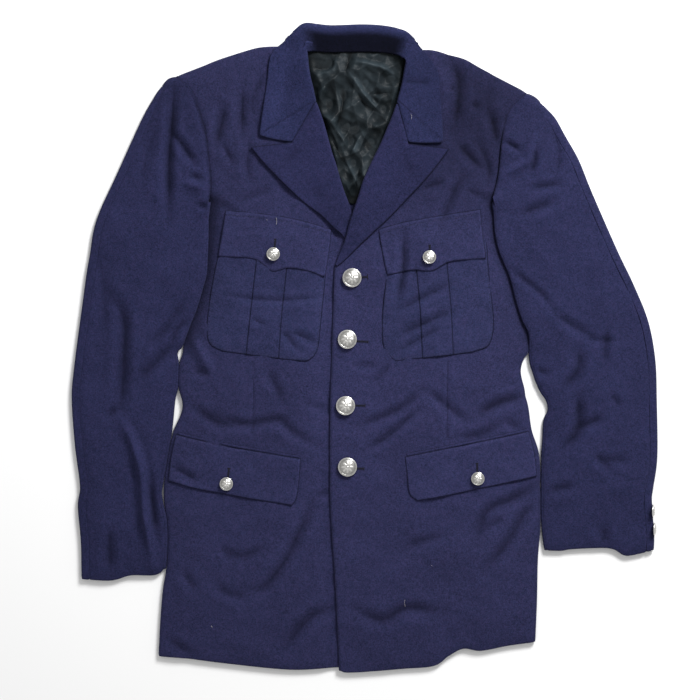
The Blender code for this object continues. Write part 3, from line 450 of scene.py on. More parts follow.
# Distance to a line of points, the share of its length at the nearest place, and the side of it (+1 right).
def nearest(line, x, y):
    line = np.asarray(line, float)
    run = runOf(line)
    best = np.full(x.shape, 1e9)
    where = np.zeros(x.shape)
    flank = np.ones(x.shape)
    for k in range(len(line) - 1):
        step = line[k + 1] - line[k]
        size = max(float(np.hypot(*step)), 1e-9)
        dx = x - line[k, 0]
        dy = y - line[k, 1]
        t = np.clip((dx * step[0] + dy * step[1]) / size**2, 0, 1)
        off = np.hypot(dx - t * step[0], dy - t * step[1])
        closer = off < best
        best = np.where(closer, off, best)
        where = np.where(closer, (run[k] + t * size) / run[-1], where)
        flank = np.where(closer, np.sign(dx * step[1] - dy * step[0]), flank)
    return best, where, flank


creaseShape = {
    # in widths of the crease, but 'low' is a share of its rise and 'ends' of its length
    "crest": 0.18, "steep": 0.5, "gentle": 1.15, "low": 0.25, "lowAt": 2.2, "ends": 0.3,
}


# Sum of the creases. Across its line each one falls as an exponential from a narrow crest, steeply on its
# right and gently on its left, with a low swell on both sides. Along the line it fades towards the ends.
def creased(x, y, creases, narrow=1.0):
    total = np.zeros_like(x)
    for points, width, rise in creases:
        width = width * narrow
        line = curve(points, 6 * len(points))
        low, high = line.min(0) - 5 * width, line.max(0) + 5 * width
        near = (x > low[0]) & (x < high[0]) & (y > low[1]) & (y < high[1])
        if not near.any():
            continue
        off, where, flank = nearest(line, x[near], y[near])
        crest = creaseShape["crest"] * width
        soft = width * np.where(flank > 0, creaseShape["steep"], creaseShape["gentle"])
        across = np.exp(-(np.sqrt(off**2 + crest**2) - crest) / soft)
        across = across - creaseShape["low"] * bell((off - creaseShape["lowAt"] * width) / width)
        fade = 0.25 + 0.75 * smoothStep(np.minimum(where, 1 - where) / creaseShape["ends"])
        total[near] += rise * across * fade
    return total


# Uneven surface: waves in random directions, each one bent a little by another.
def ripple(x, y, seed, size, waves=7):
    rng = np.random.default_rng(seed)
    total = np.zeros_like(x)
    for _ in range(waves):
        a, phase = rng.uniform(0, 2 * math.pi, 2)
        s = size * rng.uniform(0.7, 1.5)
        bend = 0.9 * np.sin((x * math.cos(a + 1.3) + y * math.sin(a + 1.3)) * 3.9 / s + 2 * phase)
        total += np.sin((x * math.cos(a) + y * math.sin(a)) * 2 * math.pi / s + phase + bend)
    return total / math.sqrt(waves)


# Crumpled surface: triangular waves in random directions, each bent by another, so that it has sharp folds.
def crumpled(x, y, seed, size, waves=5):
    rng = np.random.default_rng(seed)
    total = np.zeros_like(x)
    for _ in range(waves):
        a, phase = rng.uniform(0, 2 * math.pi, 2)
        s = size * rng.uniform(0.75, 1.6)
        bend = 0.8 * np.sin((x * math.cos(a + 1.1) + y * math.sin(a + 1.1)) * 3.1 / s + 3 * phase)
        turn = (x * math.cos(a) + y * math.sin(a)) * 2 * math.pi / s + phase + bend
        total += np.arcsin(0.985 * np.sin(turn)) / 1.57
    return total / math.sqrt(waves)


# Sharp-edged facets: the distance to the nearest of many scattered places, longer along one direction, so
# that ridges stand where two of them meet. Returns the height and a number from 0 to 1 for each facet.
def facets(x, y, seed, size, stretch, turn):
    rng = np.random.default_rng(seed)
    a = x * math.cos(turn) + y * math.sin(turn)
    b = (y * math.cos(turn) - x * math.sin(turn)) * stretch
    lowA = a.min() - size
    lowB = b.min() - size
    best = np.full(x.shape, 1e9)
    own = np.zeros(x.shape)
    for i in range(int((a.max() - lowA) / size) + 2):
        for j in range(int((b.max() - lowB) / size) + 2):
            atA, atB, number = rng.uniform(0, 1, 3)
            off = np.hypot(a - lowA - (i + atA) * size, b - lowB - (j + atB) * size)
            own = np.where(off < best, number, own)
            best = np.minimum(best, off)
    return np.sqrt(best**2 + (0.2 * size) ** 2) - 0.5 * size, own


# +1 where the right-hand normals of a line that runs down the side point away from the garment.
def turnSign(side):
    return 1 if side == "right" else -1


# Edges that the heights of the layers depend on. A height is that of the middle of a wall.
sideCurve = {side: curve(bodySide[side], 120) for side in sides}
bodyEdge = {
    side: np.vstack([curve(shoulder[side], 40)[::-1], sideCurve[side][1:], curve(hem[side], 50)])
    for side in sides
}
sleeveEdge = {
    side: np.vstack([curve(sleeveOuter[side], 120), curve(cuff[side], 40)[::-1],
                     curve(sleeveInner[side], 110)[::-1][:-6]])
    for side in sides
}
darts = {
    "right": [(-133, -17), (-132.6, -60), (-133, -111)],
    "left": [(99, -17), (98.4, -64), (99, -111)],
}
unevenness = {
    # in millimetres: height, seed and size; facets also have a stretch and a turn
    "body": {"waves": (0.3, 3, 95), "wide": (0.5, 4, 62), "fine": (0.1, 5, 24),
             "facets": (0.04, 8, 58, 1.8, 0.7), "small": (0.04, 9, 34, 1.6, -0.6)},
    "right": {"waves": (0.35, 20, 90), "wide": (0.5, 21, 66), "fine": (0.1, 22, 25),
              "facets": (0.04, 23, 60, 1.8, 1.2), "small": (0.04, 24, 34, 1.6, -0.5)},
    "left": {"waves": (0.35, 30, 90), "wide": (0.5, 31, 66), "fine": (0.1, 32, 25),
             "facets": (0.04, 33, 60, 1.8, 1.2), "small": (0.04, 34, 34, 1.6, -0.5)},
}


# Creases of the wool, all made narrower by the same share.
def woolCreases(x, y, creases):
    return creased(x, y, creases, cloth["creaseWidth"])


# The cloth's own unevenness: waves, crumples and facets of the sizes in the table, added up.
def uneven(x, y, kind):
    total = np.zeros_like(x)
    for name, effect in (("waves", ripple), ("wide", crumpled), ("fine", crumpled)):
        height, seed, size = unevenness[kind][name]
        total = total + height * effect(x, y, seed, size)
    for name in ("facets", "small"):
        height, *shape = unevenness[kind][name]
        total = total + height * facets(x, y, *shape)[0]
    return total


# How far the sleeve lies over the body at a height on the page, 0 to 1.
def overlapped(y):
    return smoothStep((y + 12) / 25) * smoothStep((190 - y) / 16)


# The body is lifted behind the neck: a plateau with smooth slopes to both sides and downwards.
def neckLift(x, y):
    plateau = smoothStep((x + 94) / 26) * smoothStep((74 - x) / 26)
    return cloth["neckLift"] * plateau * smoothStep((y - 292) / 42)


# Distance from the body's free edge: shoulders, sides and hem.
def insideBody(x, y):
    return np.minimum(*(nearest(bodyEdge[side], x, y)[0] for side in sides))


# Height of the body without the lap. It rises as an exponential from its edge and slowly to the middle.
def bodyHeight(x, y):
    inside = insideBody(x, y)
    rise = cloth["edgeRise"] * (1 - np.exp(-inside / cloth["edgeReach"]))
    rise = rise + cloth["crown"] * smoothStep(inside / cloth["crownReach"])
    high = cloth["frontMiddle"] + rise + cloth["creaseDepth"] * woolCreases(x, y, bodyCreases)
    high = high + smoothStep(inside / 25) * uneven(x, y, "body")
    for side in sides:
        off = nearest(darts[side], x, y)[0]
        high = high - 0.75 * bell(off / 1.5) + 0.25 * bell((off - 4) / 2.5)
        edge = nearest(sideCurve[side], x, y)[0]
        high = high - (high - cloth["frontLowest"]) * overlapped(y) * bell(edge / 11)
    return high


# Painted shade and light on the body's cloth: the shoulders are darker and the middle lighter.
bodyPaintedShade = [
    # x, y, reach across and along, change
    (145, 300, 90, 100, -0.42),
    (-160, 300, 90, 80, -0.14),
    (90, 215, 80, 60, -0.22),
    (-60, 230, 70, 60, -0.08),
    (-30, -20, 50, 190, 0.22),
    (110, -100, 90, 220, 0.1),
    (-110, -220, 90, 140, 0.04),
    (-120, 40, 50, 70, 0.08),
    (110, 60, 50, 70, 0.06),
]
# Painted shadow of the sleeve on the front beside it: how dark it is and how far it reaches.
sleevePaintedShadow = {"right": (0.66, 16), "left": (0.5, 10)}


# Painted shade and light on a piece of cloth, 1 as it is: darker in the creases' troughs and lighter on
# their ridges, with patches of painted shade and light added as bells.
def paintedClothShade(x, y, creases, patches=()):
    tone = 1 + cloth["creaseShade"] * np.clip(woolCreases(x, y, creases), *cloth["creaseShadeRange"])
    for px, py, rx, ry, change in patches:
        tone = tone + change * np.exp(-((x - px) / rx) ** 2 - ((y - py) / ry) ** 2)
    return np.maximum(tone, 0.25)


# The armhole's seam is pulled in, less so close to the shoulder.
def seamPull(side, y):
    return 0.25 + 0.75 * smoothStep((armhole[side][0][1] - 14 - y) / 26)


# x of the left front's free edge, or far right above it.
def overlapEdge(y):
    edge = curve(closure["left"], 60)[::-1]
    ys = np.concatenate([edge[:, 1], [107.7, 149.7, 167.7, 177]])
    xs = np.concatenate([edge[:, 0], [-30.0, -16.6, -9.4, 25.0]])
    return np.interp(y, ys, xs)


# Height of a front: the body's, lowered under the lap, or for the left front held over the right one.
def frontHeight(side, x, y):
    lowest = cloth["frontLowest"]
    body = bodyHeight(x, y)
    under = softMax(body - cloth["lapDrop"], lowest + 0 * x, 0.3)
    if side == "right":
        lap = smoothStep((x - overlapEdge(y) + 24) / 17)
        high = softMax(body, lowest + 0 * x)
        high = high + (under - high) * lap
    else:
        over = under + cloth["frontThick"] + cloth["lay"]
        held = smoothStep((50 - x) / 25)
        high = softMax(body, lowest + (over - lowest) * held, 0.3)
    return high + neckLift(x, y)


# Height of a top sleeve: it rises from its edges as the body does, is pulled in at the armhole with a roll
# beside the seam, and is lifted where it lies over the body.
def sleeveHeight(side, x, y):
    inside = nearest(sleeveEdge[side], x, y)[0]
    rise = cloth["sleeveEdgeRise"] * (1 - np.exp(-inside / cloth["sleeveEdgeReach"]))
    rise = rise + cloth["sleeveCrown"] * smoothStep(inside / 60)
    high = cloth["sleeveMiddle"] + rise + smoothStep(inside / 20) * uneven(x, y, side)
    high = high + cloth["creaseDepth"] * woolCreases(x, y, sleeveCreases[side])
    seam = nearest(armhole[side], x, y)[0]
    high = high + seamPull(side, y) * (0.9 * bell((seam - 10) / 8) - 1.1 * bell(seam / 3))
    inner = nearest(curve(sleeveInner[side], 110), x, y)[0]
    high = high + 2.4 * overlapped(y) * bell(inner / 18)
    corner = nearest(curve(sleeveOuter[side], 200, 0, 0.035), x, y)[0]
    high = high - 2.2 * bell(corner / 5)
    return softMax(high, cloth["sleeveThick"] * 1.5 + cloth["lay"] + 0 * x)


# Finished cloth by name: its object, the points of its top in millimetres and its area.
pieces = {}


# A mesh becomes a piece of the jacket, in the place of a node of the part where one is named.
def addPiece(name, mesh, tone, finish, replaced):
    mesh.attributes.new("shade", "FLOAT", "POINT").data.foreach_set("value", tone.astype(np.float32))
    mesh.materials.append(finish)
    thing = bpy.data.objects.new(name, mesh)
    bpy.context.scene.collection.objects.link(thing)
    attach(thing, "root")
    if replaced:
        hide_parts(replaced)
    return thing


# Closed cloth about a grid of middle points, half the thickness to each side, with a rounded rim all round.
# 'shade' is painted shade and light on the cloth, 1 as it is, and the rim gets painted shade towards the
# underside. UV is the way run along rows and columns, in metres.
def shell(name, middle, thickness, finish, shade=None, replaced=None):
    rows, cols = middle.shape[:2]
    across = unit(np.gradient(middle, axis=1))
    down = unit(np.gradient(middle, axis=0))
    normal = unit(np.cross(np.gradient(middle, axis=1), np.gradient(middle, axis=0)))
    half = np.broadcast_to(np.asarray(thickness, float) / 2, (rows, cols))[..., None]
    count = rows * cols
    index = np.arange(count).reshape(rows, cols)
    rim = np.concatenate([index[0], index[1:, -1], index[-1, -2::-1], index[-2:0:-1, 0]])
    away = np.zeros_like(middle)
    away[0] -= down[0]
    away[-1] += down[-1]
    away[:, 0] -= across[:, 0]
    away[:, -1] += across[:, -1]
    flat = middle.reshape(-1, 3)
    away = unit(away.reshape(-1, 3)[rim])
    up = normal.reshape(-1, 3)[rim]
    size = half.reshape(-1, 1)[rim]
    rings = [flat[rim] + size * (away * math.cos(turn) + up * math.sin(turn))
             for turn in np.radians([50, 0, -50])]
    outer = (middle + normal * half).reshape(-1, 3)
    inner = (middle - normal * half).reshape(-1, 3)
    points = np.vstack([outer, inner] + rings)

    a, b, c, d = index[:-1, :-1], index[:-1, 1:], index[1:, 1:], index[1:, :-1]
    quads = np.stack([a, b, c, d], -1).reshape(-1, 4)
    under = np.stack([d, c, b, a], -1).reshape(-1, 4) + count
    n = len(rim)
    levels = [rim] + [2 * count + k * n + np.arange(n) for k in range(3)] + [rim + count]
    bands = [np.stack([np.roll(high, -1), high, low, np.roll(low, -1)], 1)
             for high, low in zip(levels, levels[1:])]
    faces = np.vstack([quads, under] + bands)

    mesh = bpy.data.meshes.new(name)
    mesh.vertices.add(len(points))
    mesh.vertices.foreach_set("co", (points * mm).ravel())
    mesh.loops.add(faces.size)
    mesh.loops.foreach_set("vertex_index", faces.ravel().astype(np.int32))
    mesh.polygons.add(len(faces))
    mesh.polygons.foreach_set("loop_start", np.arange(0, faces.size, 4, dtype=np.int32))
    mesh.polygons.foreach_set("use_smooth", np.ones(len(faces), bool))
    mesh.update(calc_edges=True)

    runU = np.zeros((rows, cols))
    runU[:, 1:] = np.cumsum(np.linalg.norm(np.diff(middle, axis=1), axis=2), axis=1)
    runV = np.zeros((rows, cols))
    runV[1:] = np.cumsum(np.linalg.norm(np.diff(middle, axis=0), axis=2), axis=0)
    uv = np.stack([runU, runV], -1).reshape(-1, 2)
    uvAll = np.vstack([uv, uv] + [uv[rim]] * 3)
    layer = mesh.uv_layers.new(name="cloth")
    layer.data.foreach_set("uv", uvAll[faces.ravel()].ravel() * mm)
    tone = np.ones(count) if shade is None else np.broadcast_to(shade, (rows, cols)).ravel()
    # painted shade on the rim, darker from its top round to the underside
    toneAll = np.concatenate([tone, tone] + [tone[rim] * k for k in (0.9, 0.6, 0.4)])
    thing = addPiece(name, mesh, toneAll, finish, replaced)
    sizeAcross = np.linalg.norm(np.diff(middle, axis=1), axis=2).sum(1).max() * mm
    sizeDown = np.linalg.norm(np.diff(middle, axis=0), axis=2).sum(0).max() * mm
    first = np.cross(middle[:-1, 1:] - middle[:-1, :-1], middle[1:, :-1] - middle[:-1, :-1])
    second = np.cross(middle[1:, 1:] - middle[:-1, 1:], middle[1:, 1:] - middle[1:, :-1])
    area = (np.linalg.norm(first, axis=2).sum() + np.linalg.norm(second, axis=2).sum()) / 2 * mm**2
    top = outer if normal[rows // 2, cols // 2, 2] > 0 else inner
    pieces[name] = {"object": thing, "top": top, "area": area}
    print(f"  {name}: {2 * len(faces)} triangles, cut {sizeAcross:.3f} x {sizeDown:.3f} m, {area:.4f} m2")


# A shared effect: its inputs are label, kind and value, and it gives a colour, a roughness and a height.
def newGroup(name, inputs):
    group = bpy.data.node_groups.new(name, "ShaderNodeTree")
    for label, kind, value in inputs:
        socket = group.interface.new_socket(name=label, in_out="INPUT", socket_type="NodeSocket" + kind)
        socket.default_value = value
    for label, kind in (("Color", "Color"), ("Roughness", "Float"), ("Height", "Float")):
        group.interface.new_socket(name=label, in_out="OUTPUT", socket_type="NodeSocket" + kind)
    return group, group.nodes.new("NodeGroupInput"), group.nodes.new("NodeGroupOutput")


# The three results are joined to the effect's outputs.
def endGroup(group, end, colour, roughness, height):
    group.links.new(colour, end.inputs["Color"])
    group.links.new(roughness, end.inputs["Roughness"])
    group.links.new(height, end.inputs["Height"])
    return group


# A shader node with its settings and input values.
def addNode(tree, kind, label="", **values):
    made = tree.nodes.new("ShaderNode" + kind)
    made.label = label
    for key, value in values.items():
        if hasattr(made, key):
            setattr(made, key, value)
        else:
            made.inputs[key].default_value = value
    return made


# Result of an operation on two numbers or sockets.
def addMath(tree, operation, first, second, label=""):
    made = addNode(tree, "Math", label, operation=operation)
    for k, value in enumerate((first, second)):
        if isinstance(value, (int, float)):
            made.inputs[k].default_value = value
        else:
            tree.links.new(value, made.inputs[k])
    return made.outputs[0]


# A value less its middle, times a factor.
def centred(tree, value, middle, factor):
    return addMath(tree, "MULTIPLY", addMath(tree, "SUBTRACT", value, middle), factor)


# A value times a factor, plus an offset.
def stretched(tree, value, factor, offset):
    return addMath(tree, "ADD", addMath(tree, "MULTIPLY", value, factor), offset)


# The sum of two values, each times its own factor.
def blended(tree, first, firstFactor, second, secondFactor):
    return addMath(tree, "ADD", addMath(tree, "MULTIPLY", first, firstFactor),
                   addMath(tree, "MULTIPLY", second, secondFactor))


# A sine with one turn for each pitch.
def waveOf(tree, run, pitch, label):
    turns = addMath(tree, "DIVIDE", run, pitch)
    return addMath(tree, "SINE", addMath(tree, "MULTIPLY", turns, 2 * math.pi), 0.0, label)


# Noise in the object's own place.
def noiseOn(tree, place, label, **values):
    made = addNode(tree, "TexNoise", label, noise_dimensions="3D", **values)
    tree.links.new(place.outputs["Object"], made.inputs["Vector"])
    return made.outputs[0]


# From the first colour to the second by a share.
def mixOf(tree, label, first, second, share):
    made = addNode(tree, "Mix", label, data_type="RGBA")
    tree.links.new(first, made.inputs[6])
    tree.links.new(second, made.inputs[7])
    tree.links.new(share, made.inputs[0])
    return made.outputs[2]


# A colour times the tone, if there is one, and times the piece's painted shade and light.
def shaded(tree, colour, tone=None):
    shade = addNode(tree, "Attribute", "shade", attribute_name="shade")
    factor = shade.outputs["Fac"]
    if tone is not None:
        factor = addMath(tree, "MULTIPLY", tone, factor)
    made = addNode(tree, "VectorMath", "tone", operation="SCALE")
    tree.links.new(colour, made.inputs[0])
    tree.links.new(factor, made.inputs["Scale"])
    return made.outputs[0]


# Woollen cloth: a twill line along the piece's own UV, fibres and nap on top, and an uneven dye.
def makeWoolGroup():
    group, start, end = newGroup("woolCloth", [
        ("Dye", "Color", (0.03, 0.033, 0.09, 1)),
        ("Second Dye", "Color", (0.04, 0.03, 0.08, 1)),
        ("Twill Pitch", "Float", 0.0007),
        ("Nap", "Float", 1.0),
        ("Unevenness", "Float", 0.5),
    ])
    place = addNode(group, "TexCoord")
    nap = noiseOn(group, place, "nap", Scale=640.0, Detail=3.0, Roughness=0.7)
    blotch = noiseOn(group, place, "dye blotches", Scale=230.0, Detail=4.0, Roughness=0.7)
    wide = noiseOn(group, place, "wide tone", Scale=14.0, Detail=3.0, Roughness=0.5)
    # twill: a sine of u + 1.4 v over the pitch
    split = addNode(group, "SeparateXYZ")
    group.links.new(place.outputs["UV"], split.inputs[0])
    slant = addMath(group, "MULTIPLY", split.outputs[1], 1.4)
    run = addMath(group, "ADD", split.outputs[0], slant)
    wave = waveOf(group, run, start.outputs["Twill Pitch"], "twill")
    fibre = centred(group, nap, 0.5, start.outputs["Nap"])
    height = blended(group, wave, 0.16, fibre, 2.4)
    share = addMath(group, "MULTIPLY", centred(group, blotch, 0.36, 2.2), start.outputs["Unevenness"])
    dye = mixOf(group, "dyes", start.outputs["Dye"], start.outputs["Second Dye"], share)
    tone = addMath(group, "ADD", centred(group, nap, 0.5, 2.2), centred(group, wide, 0.5, 0.35))
    tone = addMath(group, "ADD", tone, centred(group, blotch, 0.5, 0.9))
    tone = stretched(group, tone, start.outputs["Nap"], 1.0)
    return endGroup(group, end, shaded(group, dye, tone), stretched(group, fibre, 0.25, 0.88), height)


# Satin: close floats along the piece and fine creases. Its tone follows the creases' height: painted
# light where they are high and painted shade where they are low.
def makeSatinGroup():
    group, start, end = newGroup("satinCloth", [
        ("Dye", "Color", (0.02, 0.025, 0.03, 1)),
        ("Float Pitch", "Float", 0.0004),
        ("Crush", "Float", 1.0),
    ])
    place = addNode(group, "TexCoord")
    crush = noiseOn(group, place, "crush", Scale=110.0, Detail=3.0, Distortion=1.2)
    split = addNode(group, "SeparateXYZ")
    group.links.new(place.outputs["UV"], split.inputs[0])
    wave = waveOf(group, split.outputs[0], start.outputs["Float Pitch"], "floats")
    folds = centred(group, crush, 0.5, start.outputs["Crush"])
    height = blended(group, wave, 0.05, folds, 0.5)
    # painted light and shade that follow the creases
    colour = shaded(group, start.outputs["Dye"], stretched(group, folds, 0.8, 1.0))
    return endGroup(group, end, colour, stretched(group, folds, 0.2, 0.44), height)


# Handled metal: fine scratches in the gloss and a darker tarnish in patches.
def makeMetalGroup():
    group, start, end = newGroup("handledMetal", [
        ("Metal", "Color", (0.62, 0.6, 0.57, 1)),
        ("Tarnish", "Color", (0.3, 0.28, 0.25, 1)),
        ("Wear", "Float", 0.4),
    ])
    place = addNode(group, "TexCoord")
    patches = noiseOn(group, place, "tarnish", Scale=260.0, Detail=4.0)
    fine = noiseOn(group, place, "scratches", Scale=1500.0, Detail=2.0)
    share = addMath(group, "MULTIPLY", centred(group, patches, 0.4, 2.0), start.outputs["Wear"])
    clamp = addNode(group, "Clamp")
    group.links.new(share, clamp.inputs[0])
    metal = mixOf(group, "tarnish", start.outputs["Metal"], start.outputs["Tarnish"], clamp.outputs[0])
    return endGroup(group, end, shaded(group, metal), stretched(group, fine, 0.24, 0.22), fine)


groups = {"wool": makeWoolGroup(), "satin": makeSatinGroup(), "metal": makeMetalGroup()}


# A material whose colour, gloss and relief come from a shared effect, with its own values.
def finishFrom(name, effect, values, bump, metallic=0.0, specular=0.5, sheen=0.0):
    made = bpy.data.materials.new(name)
    made.use_nodes = True
    tree = made.node_tree
    shader = tree.nodes["Principled BSDF"]
    group = tree.nodes.new("ShaderNodeGroup")
    group.node_tree = groups[effect]
    for label, value in values.items():
        group.inputs[label].default_value = value
    relief = addNode(tree, "Bump", Distance=bump)
    tree.links.new(group.outputs["Color"], shader.inputs["Base Color"])
    tree.links.new(group.outputs["Roughness"], shader.inputs["Roughness"])
    tree.links.new(group.outputs["Height"], relief.inputs["Height"])
    tree.links.new(relief.outputs["Normal"], shader.inputs["Normal"])
    look = {"Metallic": metallic, "Specular IOR Level": specular, "Sheen Weight": sheen,
            "Sheen Roughness": 0.5, "Sheen Tint": (0.7, 0.75, 1.0, 1)}
    for label, value in look.items():
        shader.inputs[label].default_value = value
    return made


# Copies of one navy wool for each kind of piece; their small differences in brightness are partly painted
# shade and light.
woolShadedDyes = {
    "front": (0.0202, 0.0230, 0.0655),
    "sleeve": (0.0172, 0.0202, 0.0595),
    "collar": (0.0158, 0.0202, 0.0610),
    "lapel": (0.0154, 0.0180, 0.0550),
    "pocket": (0.0194, 0.0234, 0.0660),
    "flap": (0.0208, 0.0240, 0.0682),
}
woolLook = {
    "second": (1.5, 0.92, 0.93),   # the second dye, as shares of the first
    "secondShare": 0.5,
    "bump": 0.00018,
    "threadBump": 0.0001,
}


# Woollen cloth or thread of two dyes.
def woolFinish(name, dye, second, bump, **look):
    values = {"Dye": (*dye, 1), "Second Dye": (*second, 1), "Unevenness": woolLook["secondShare"], "Nap": 1.0}
    return finishFrom(name, "wool", values, bump, **look)


# Thread, with a finer relief.
def threadFinish(name, dye, second, **look):
    return woolFinish(name, dye, second, woolLook["threadBump"], **look)


wool = {}
for label, dye in woolShadedDyes.items():
    second = [value * share for value, share in zip(dye, woolLook["second"])]
    wool[label] = woolFinish(f"navy wool {label}", dye, second, woolLook["bump"], specular=0.06, sheen=0.03)
satin = finishFrom("lining satin", "satin", {"Dye": (0.0116, 0.0160, 0.0192, 1)}, 0.0003, specular=0.09)
nickelLook = {"Metal": (0.84, 0.83, 0.80, 1), "Tarnish": (0.42, 0.40, 0.36, 1)}
nickel = finishFrom("nickel silver", "metal", nickelLook, 0.00003, metallic=1.0)
thread = threadFinish("navy thread", (0.020, 0.022, 0.062), (0.028, 0.024, 0.062), specular=0.3, sheen=0.1)
# Near-black thread for the buttonholes' slits, painted shade in the cut, and for the bars across their ends.
slitShadeAndBarThread = threadFinish("dark thread", (0.004, 0.004, 0.009), (0.007, 0.006, 0.010), specular=0.3)
print("materials made")

# How fine the body's grids are, and how its folds turn, in degrees.
bodyGrid = {
    "armRows": 76, "sideRows": 178, "neckRows": 112, "cols": 84,
    "dartShare": {"right": 0.385, "left": 0.405},   # where the dart is across a front
    "foldAngles": [-90, -70, -50, -30, -10, 10, 30, 50],
    "panelRows": 231,
    "panelAngles": [74, 56, 38, 20, 0, -20, -38, -56, -74, -90],
    "backArmRows": 40, "backSideRows": 120, "backCols": 44,
    "backShares": {"right": [0, 0.11, 0.22, 0.33, 0.44, 0.55, 0.66, 0.76, 0.825, 0.91, 1],
                   "left": [0, 0.1, 0.2, 0.3, 0.4, 0.5, 0.6, 0.7, 0.8, 0.9, 1]},
}
foldIn = cloth["sideRadius"] + cloth["frontThick"] / 2


# Even shares across a front, with close ones at the dart in the place of those near them.
def frontShares(side):
    even = np.linspace(0, 1, bodyGrid["cols"])
    close = bodyGrid["dartShare"][side] + np.array([-3.2, -2, -1.3, -0.65, 0, 0.65, 1.3, 2, 3.2]) / 215
    kept = even[np.min(np.abs(even[:, None] - close[None]), axis=1) > 0.003]
    return np.sort(np.concatenate([kept, close]))


# Where the shoulder's fold starts, at shares of its length, and the directions outwards.
def shoulderFold(side, shares):
    line = along(curve(shoulder[side], 401), shares)
    out = -sideways(line) * turnSign(side)
    return line - out * foldIn, out


# The armhole from the shoulder's fold down, moved inwards.
def armLine(side, inset, rows):
    start = shoulderFold(side, [0, 0.01, 0.02])[0][0]
    line = trimmed(armhole[side], start, rows)
    return line - sideways(line) * turnSign(side) * inset


# The body's side, moved inwards by one distance or by one for each row.
def sideLine(side, inset, rows):
    line = curve(bodySide[side], rows)
    return line - sideways(line) * turnSign(side) * np.reshape(inset, (-1, 1))


# Radius of the lapel's roll, from the collar down.
def rollRadius(rows):
    low, high = cloth["rollRadiusLow"], cloth["rollRadius"]
    return high + (low - high) * smoothStep((np.linspace(0, 1, rows) - 0.35) / 0.65)


# The front's edge, a little outside the lower end of the roll.
def neckEdge(side, rows):
    rightPart = collarInner[1:6][::-1]
    leftPart = collarInner[15:20]
    line = curve((rightPart if side == "right" else leftPart) + lapel[side]["roll"], 24)
    reach = np.concatenate([np.full(10, cloth["rollRadius"]), rollRadius(14)]) + cloth["lapelThick"] / 2 + 1.5
    line = line + sideways(line) * turnSign(side) * reach[:, None]
    start = shoulderFold(side, np.array([0.98, 0.99, 1]))[0][-1]
    last = closure[side][0]
    kept = [tuple(p) for p in line if last[1] + 8 < p[1] < start[1] - 8]
    return curve([tuple(start)] + kept + [last], rows)


# A front is one sheet: its shoulder turns down round a fold, and its outline follows the armhole, the side,
# the neck and the closure.
def makeFront(side):
    shares = frontShares(side)
    rows = bodyGrid["armRows"] + bodyGrid["sideRows"]
    top, out = shoulderFold(side, shares)
    outer = np.vstack([armLine(side, cloth["seam"] / 2, bodyGrid["armRows"]),
                       sideLine(side, cloth["sideRadius"] + cloth["backThick"] / 2, bodyGrid["sideRows"])])
    edge = curve(closure[side], rows - bodyGrid["neckRows"] + 1)[1:]
    inner = np.vstack([neckEdge(side, bodyGrid["neckRows"]), edge])
    plan = patch(outer, inner, top, along(curve(hem[side], 401), shares))
    x, y = plan[..., 0], plan[..., 1]
    height = frontHeight(side, x, y)
    seam = nearest(armhole[side], x, y)[0]
    height = height + seamPull(side, y) * (0.5 * bell((seam - 8) / 6) - 0.9 * bell(seam / 3))
    low = cloth["frontThick"] / 2 + neckLift(x[0], y[0])
    turned = halfRound(plan[0], out, low, height[0], bodyGrid["foldAngles"]).transpose(1, 0, 2)
    middle = np.vstack([turned, raised(plan, height)])
    x, y = middle[..., 0], middle[..., 1]
    dart = nearest(darts[side], x, y)[0]
    seam = nearest(armhole[side], x, y)[0]
    dark, reach = sleevePaintedShadow[side]
    # Painted shade: the creases and the body's patches, dark lines along the dart and the armhole seam, the
    # sleeve's shadow beside its edge, and on the left front a line along its free edge.
    shade = paintedClothShade(x, y, bodyCreases, bodyPaintedShade) * (1 - 0.35 * bell(dart / 0.9))
    shade = shade * (1 - 0.6 * seamPull(side, y) * bell(seam / 1.4))
    shade = shade * (1 - dark * overlapped(y) * bell(nearest(sideCurve[side], x, y)[0] / reach))
    if side == "left":
        shade = shade * (1 - 0.35 * bell(nearest(curve(closure[side], 60), x, y)[0] / 1.2))
    shell(f"front_{side}_cloth", middle, cloth["frontThick"], wool["front"], shade,
          f"front_{side}")


# How far the side seam is from the fold, as a share: little at the armhole, and whole from there down.
def seamSpread(rows):
    return 0.2 + 0.8 * smoothStep(np.linspace(0, 1, rows) / 0.18)


# A side panel turns round the body's side, from under the front down to the table, and lies on it.
def makeSidePanel(side):
    rows = bodyGrid["panelRows"]
    base = sideLine(side, cloth["sideRadius"] + cloth["backThick"] / 2, rows - 1)
    base = np.vstack([base[0] + 5 * (base[0] - base[1]) / np.linalg.norm(base[0] - base[1]), base])
    out = sideways(base) * turnSign(side)
    high = frontHeight(side, base[:, 0], base[:, 1])
    high[0] -= 1.8
    low = np.full(rows, cloth["backMiddle"])
    turned = halfRound(base, out, low, high, bodyGrid["panelAngles"])
    reach = cloth["sideSeamIn"] * seamSpread(rows)
    leaf = [raised(base - out * (reach * k)[:, None], low)[:, None] for k in np.linspace(0.1, 1, 9)]
    shell(f"side_panel_{side}_cloth", np.concatenate([turned] + leaf, 1), cloth["backThick"], wool["front"],
          None, f"side_panel_{side}")


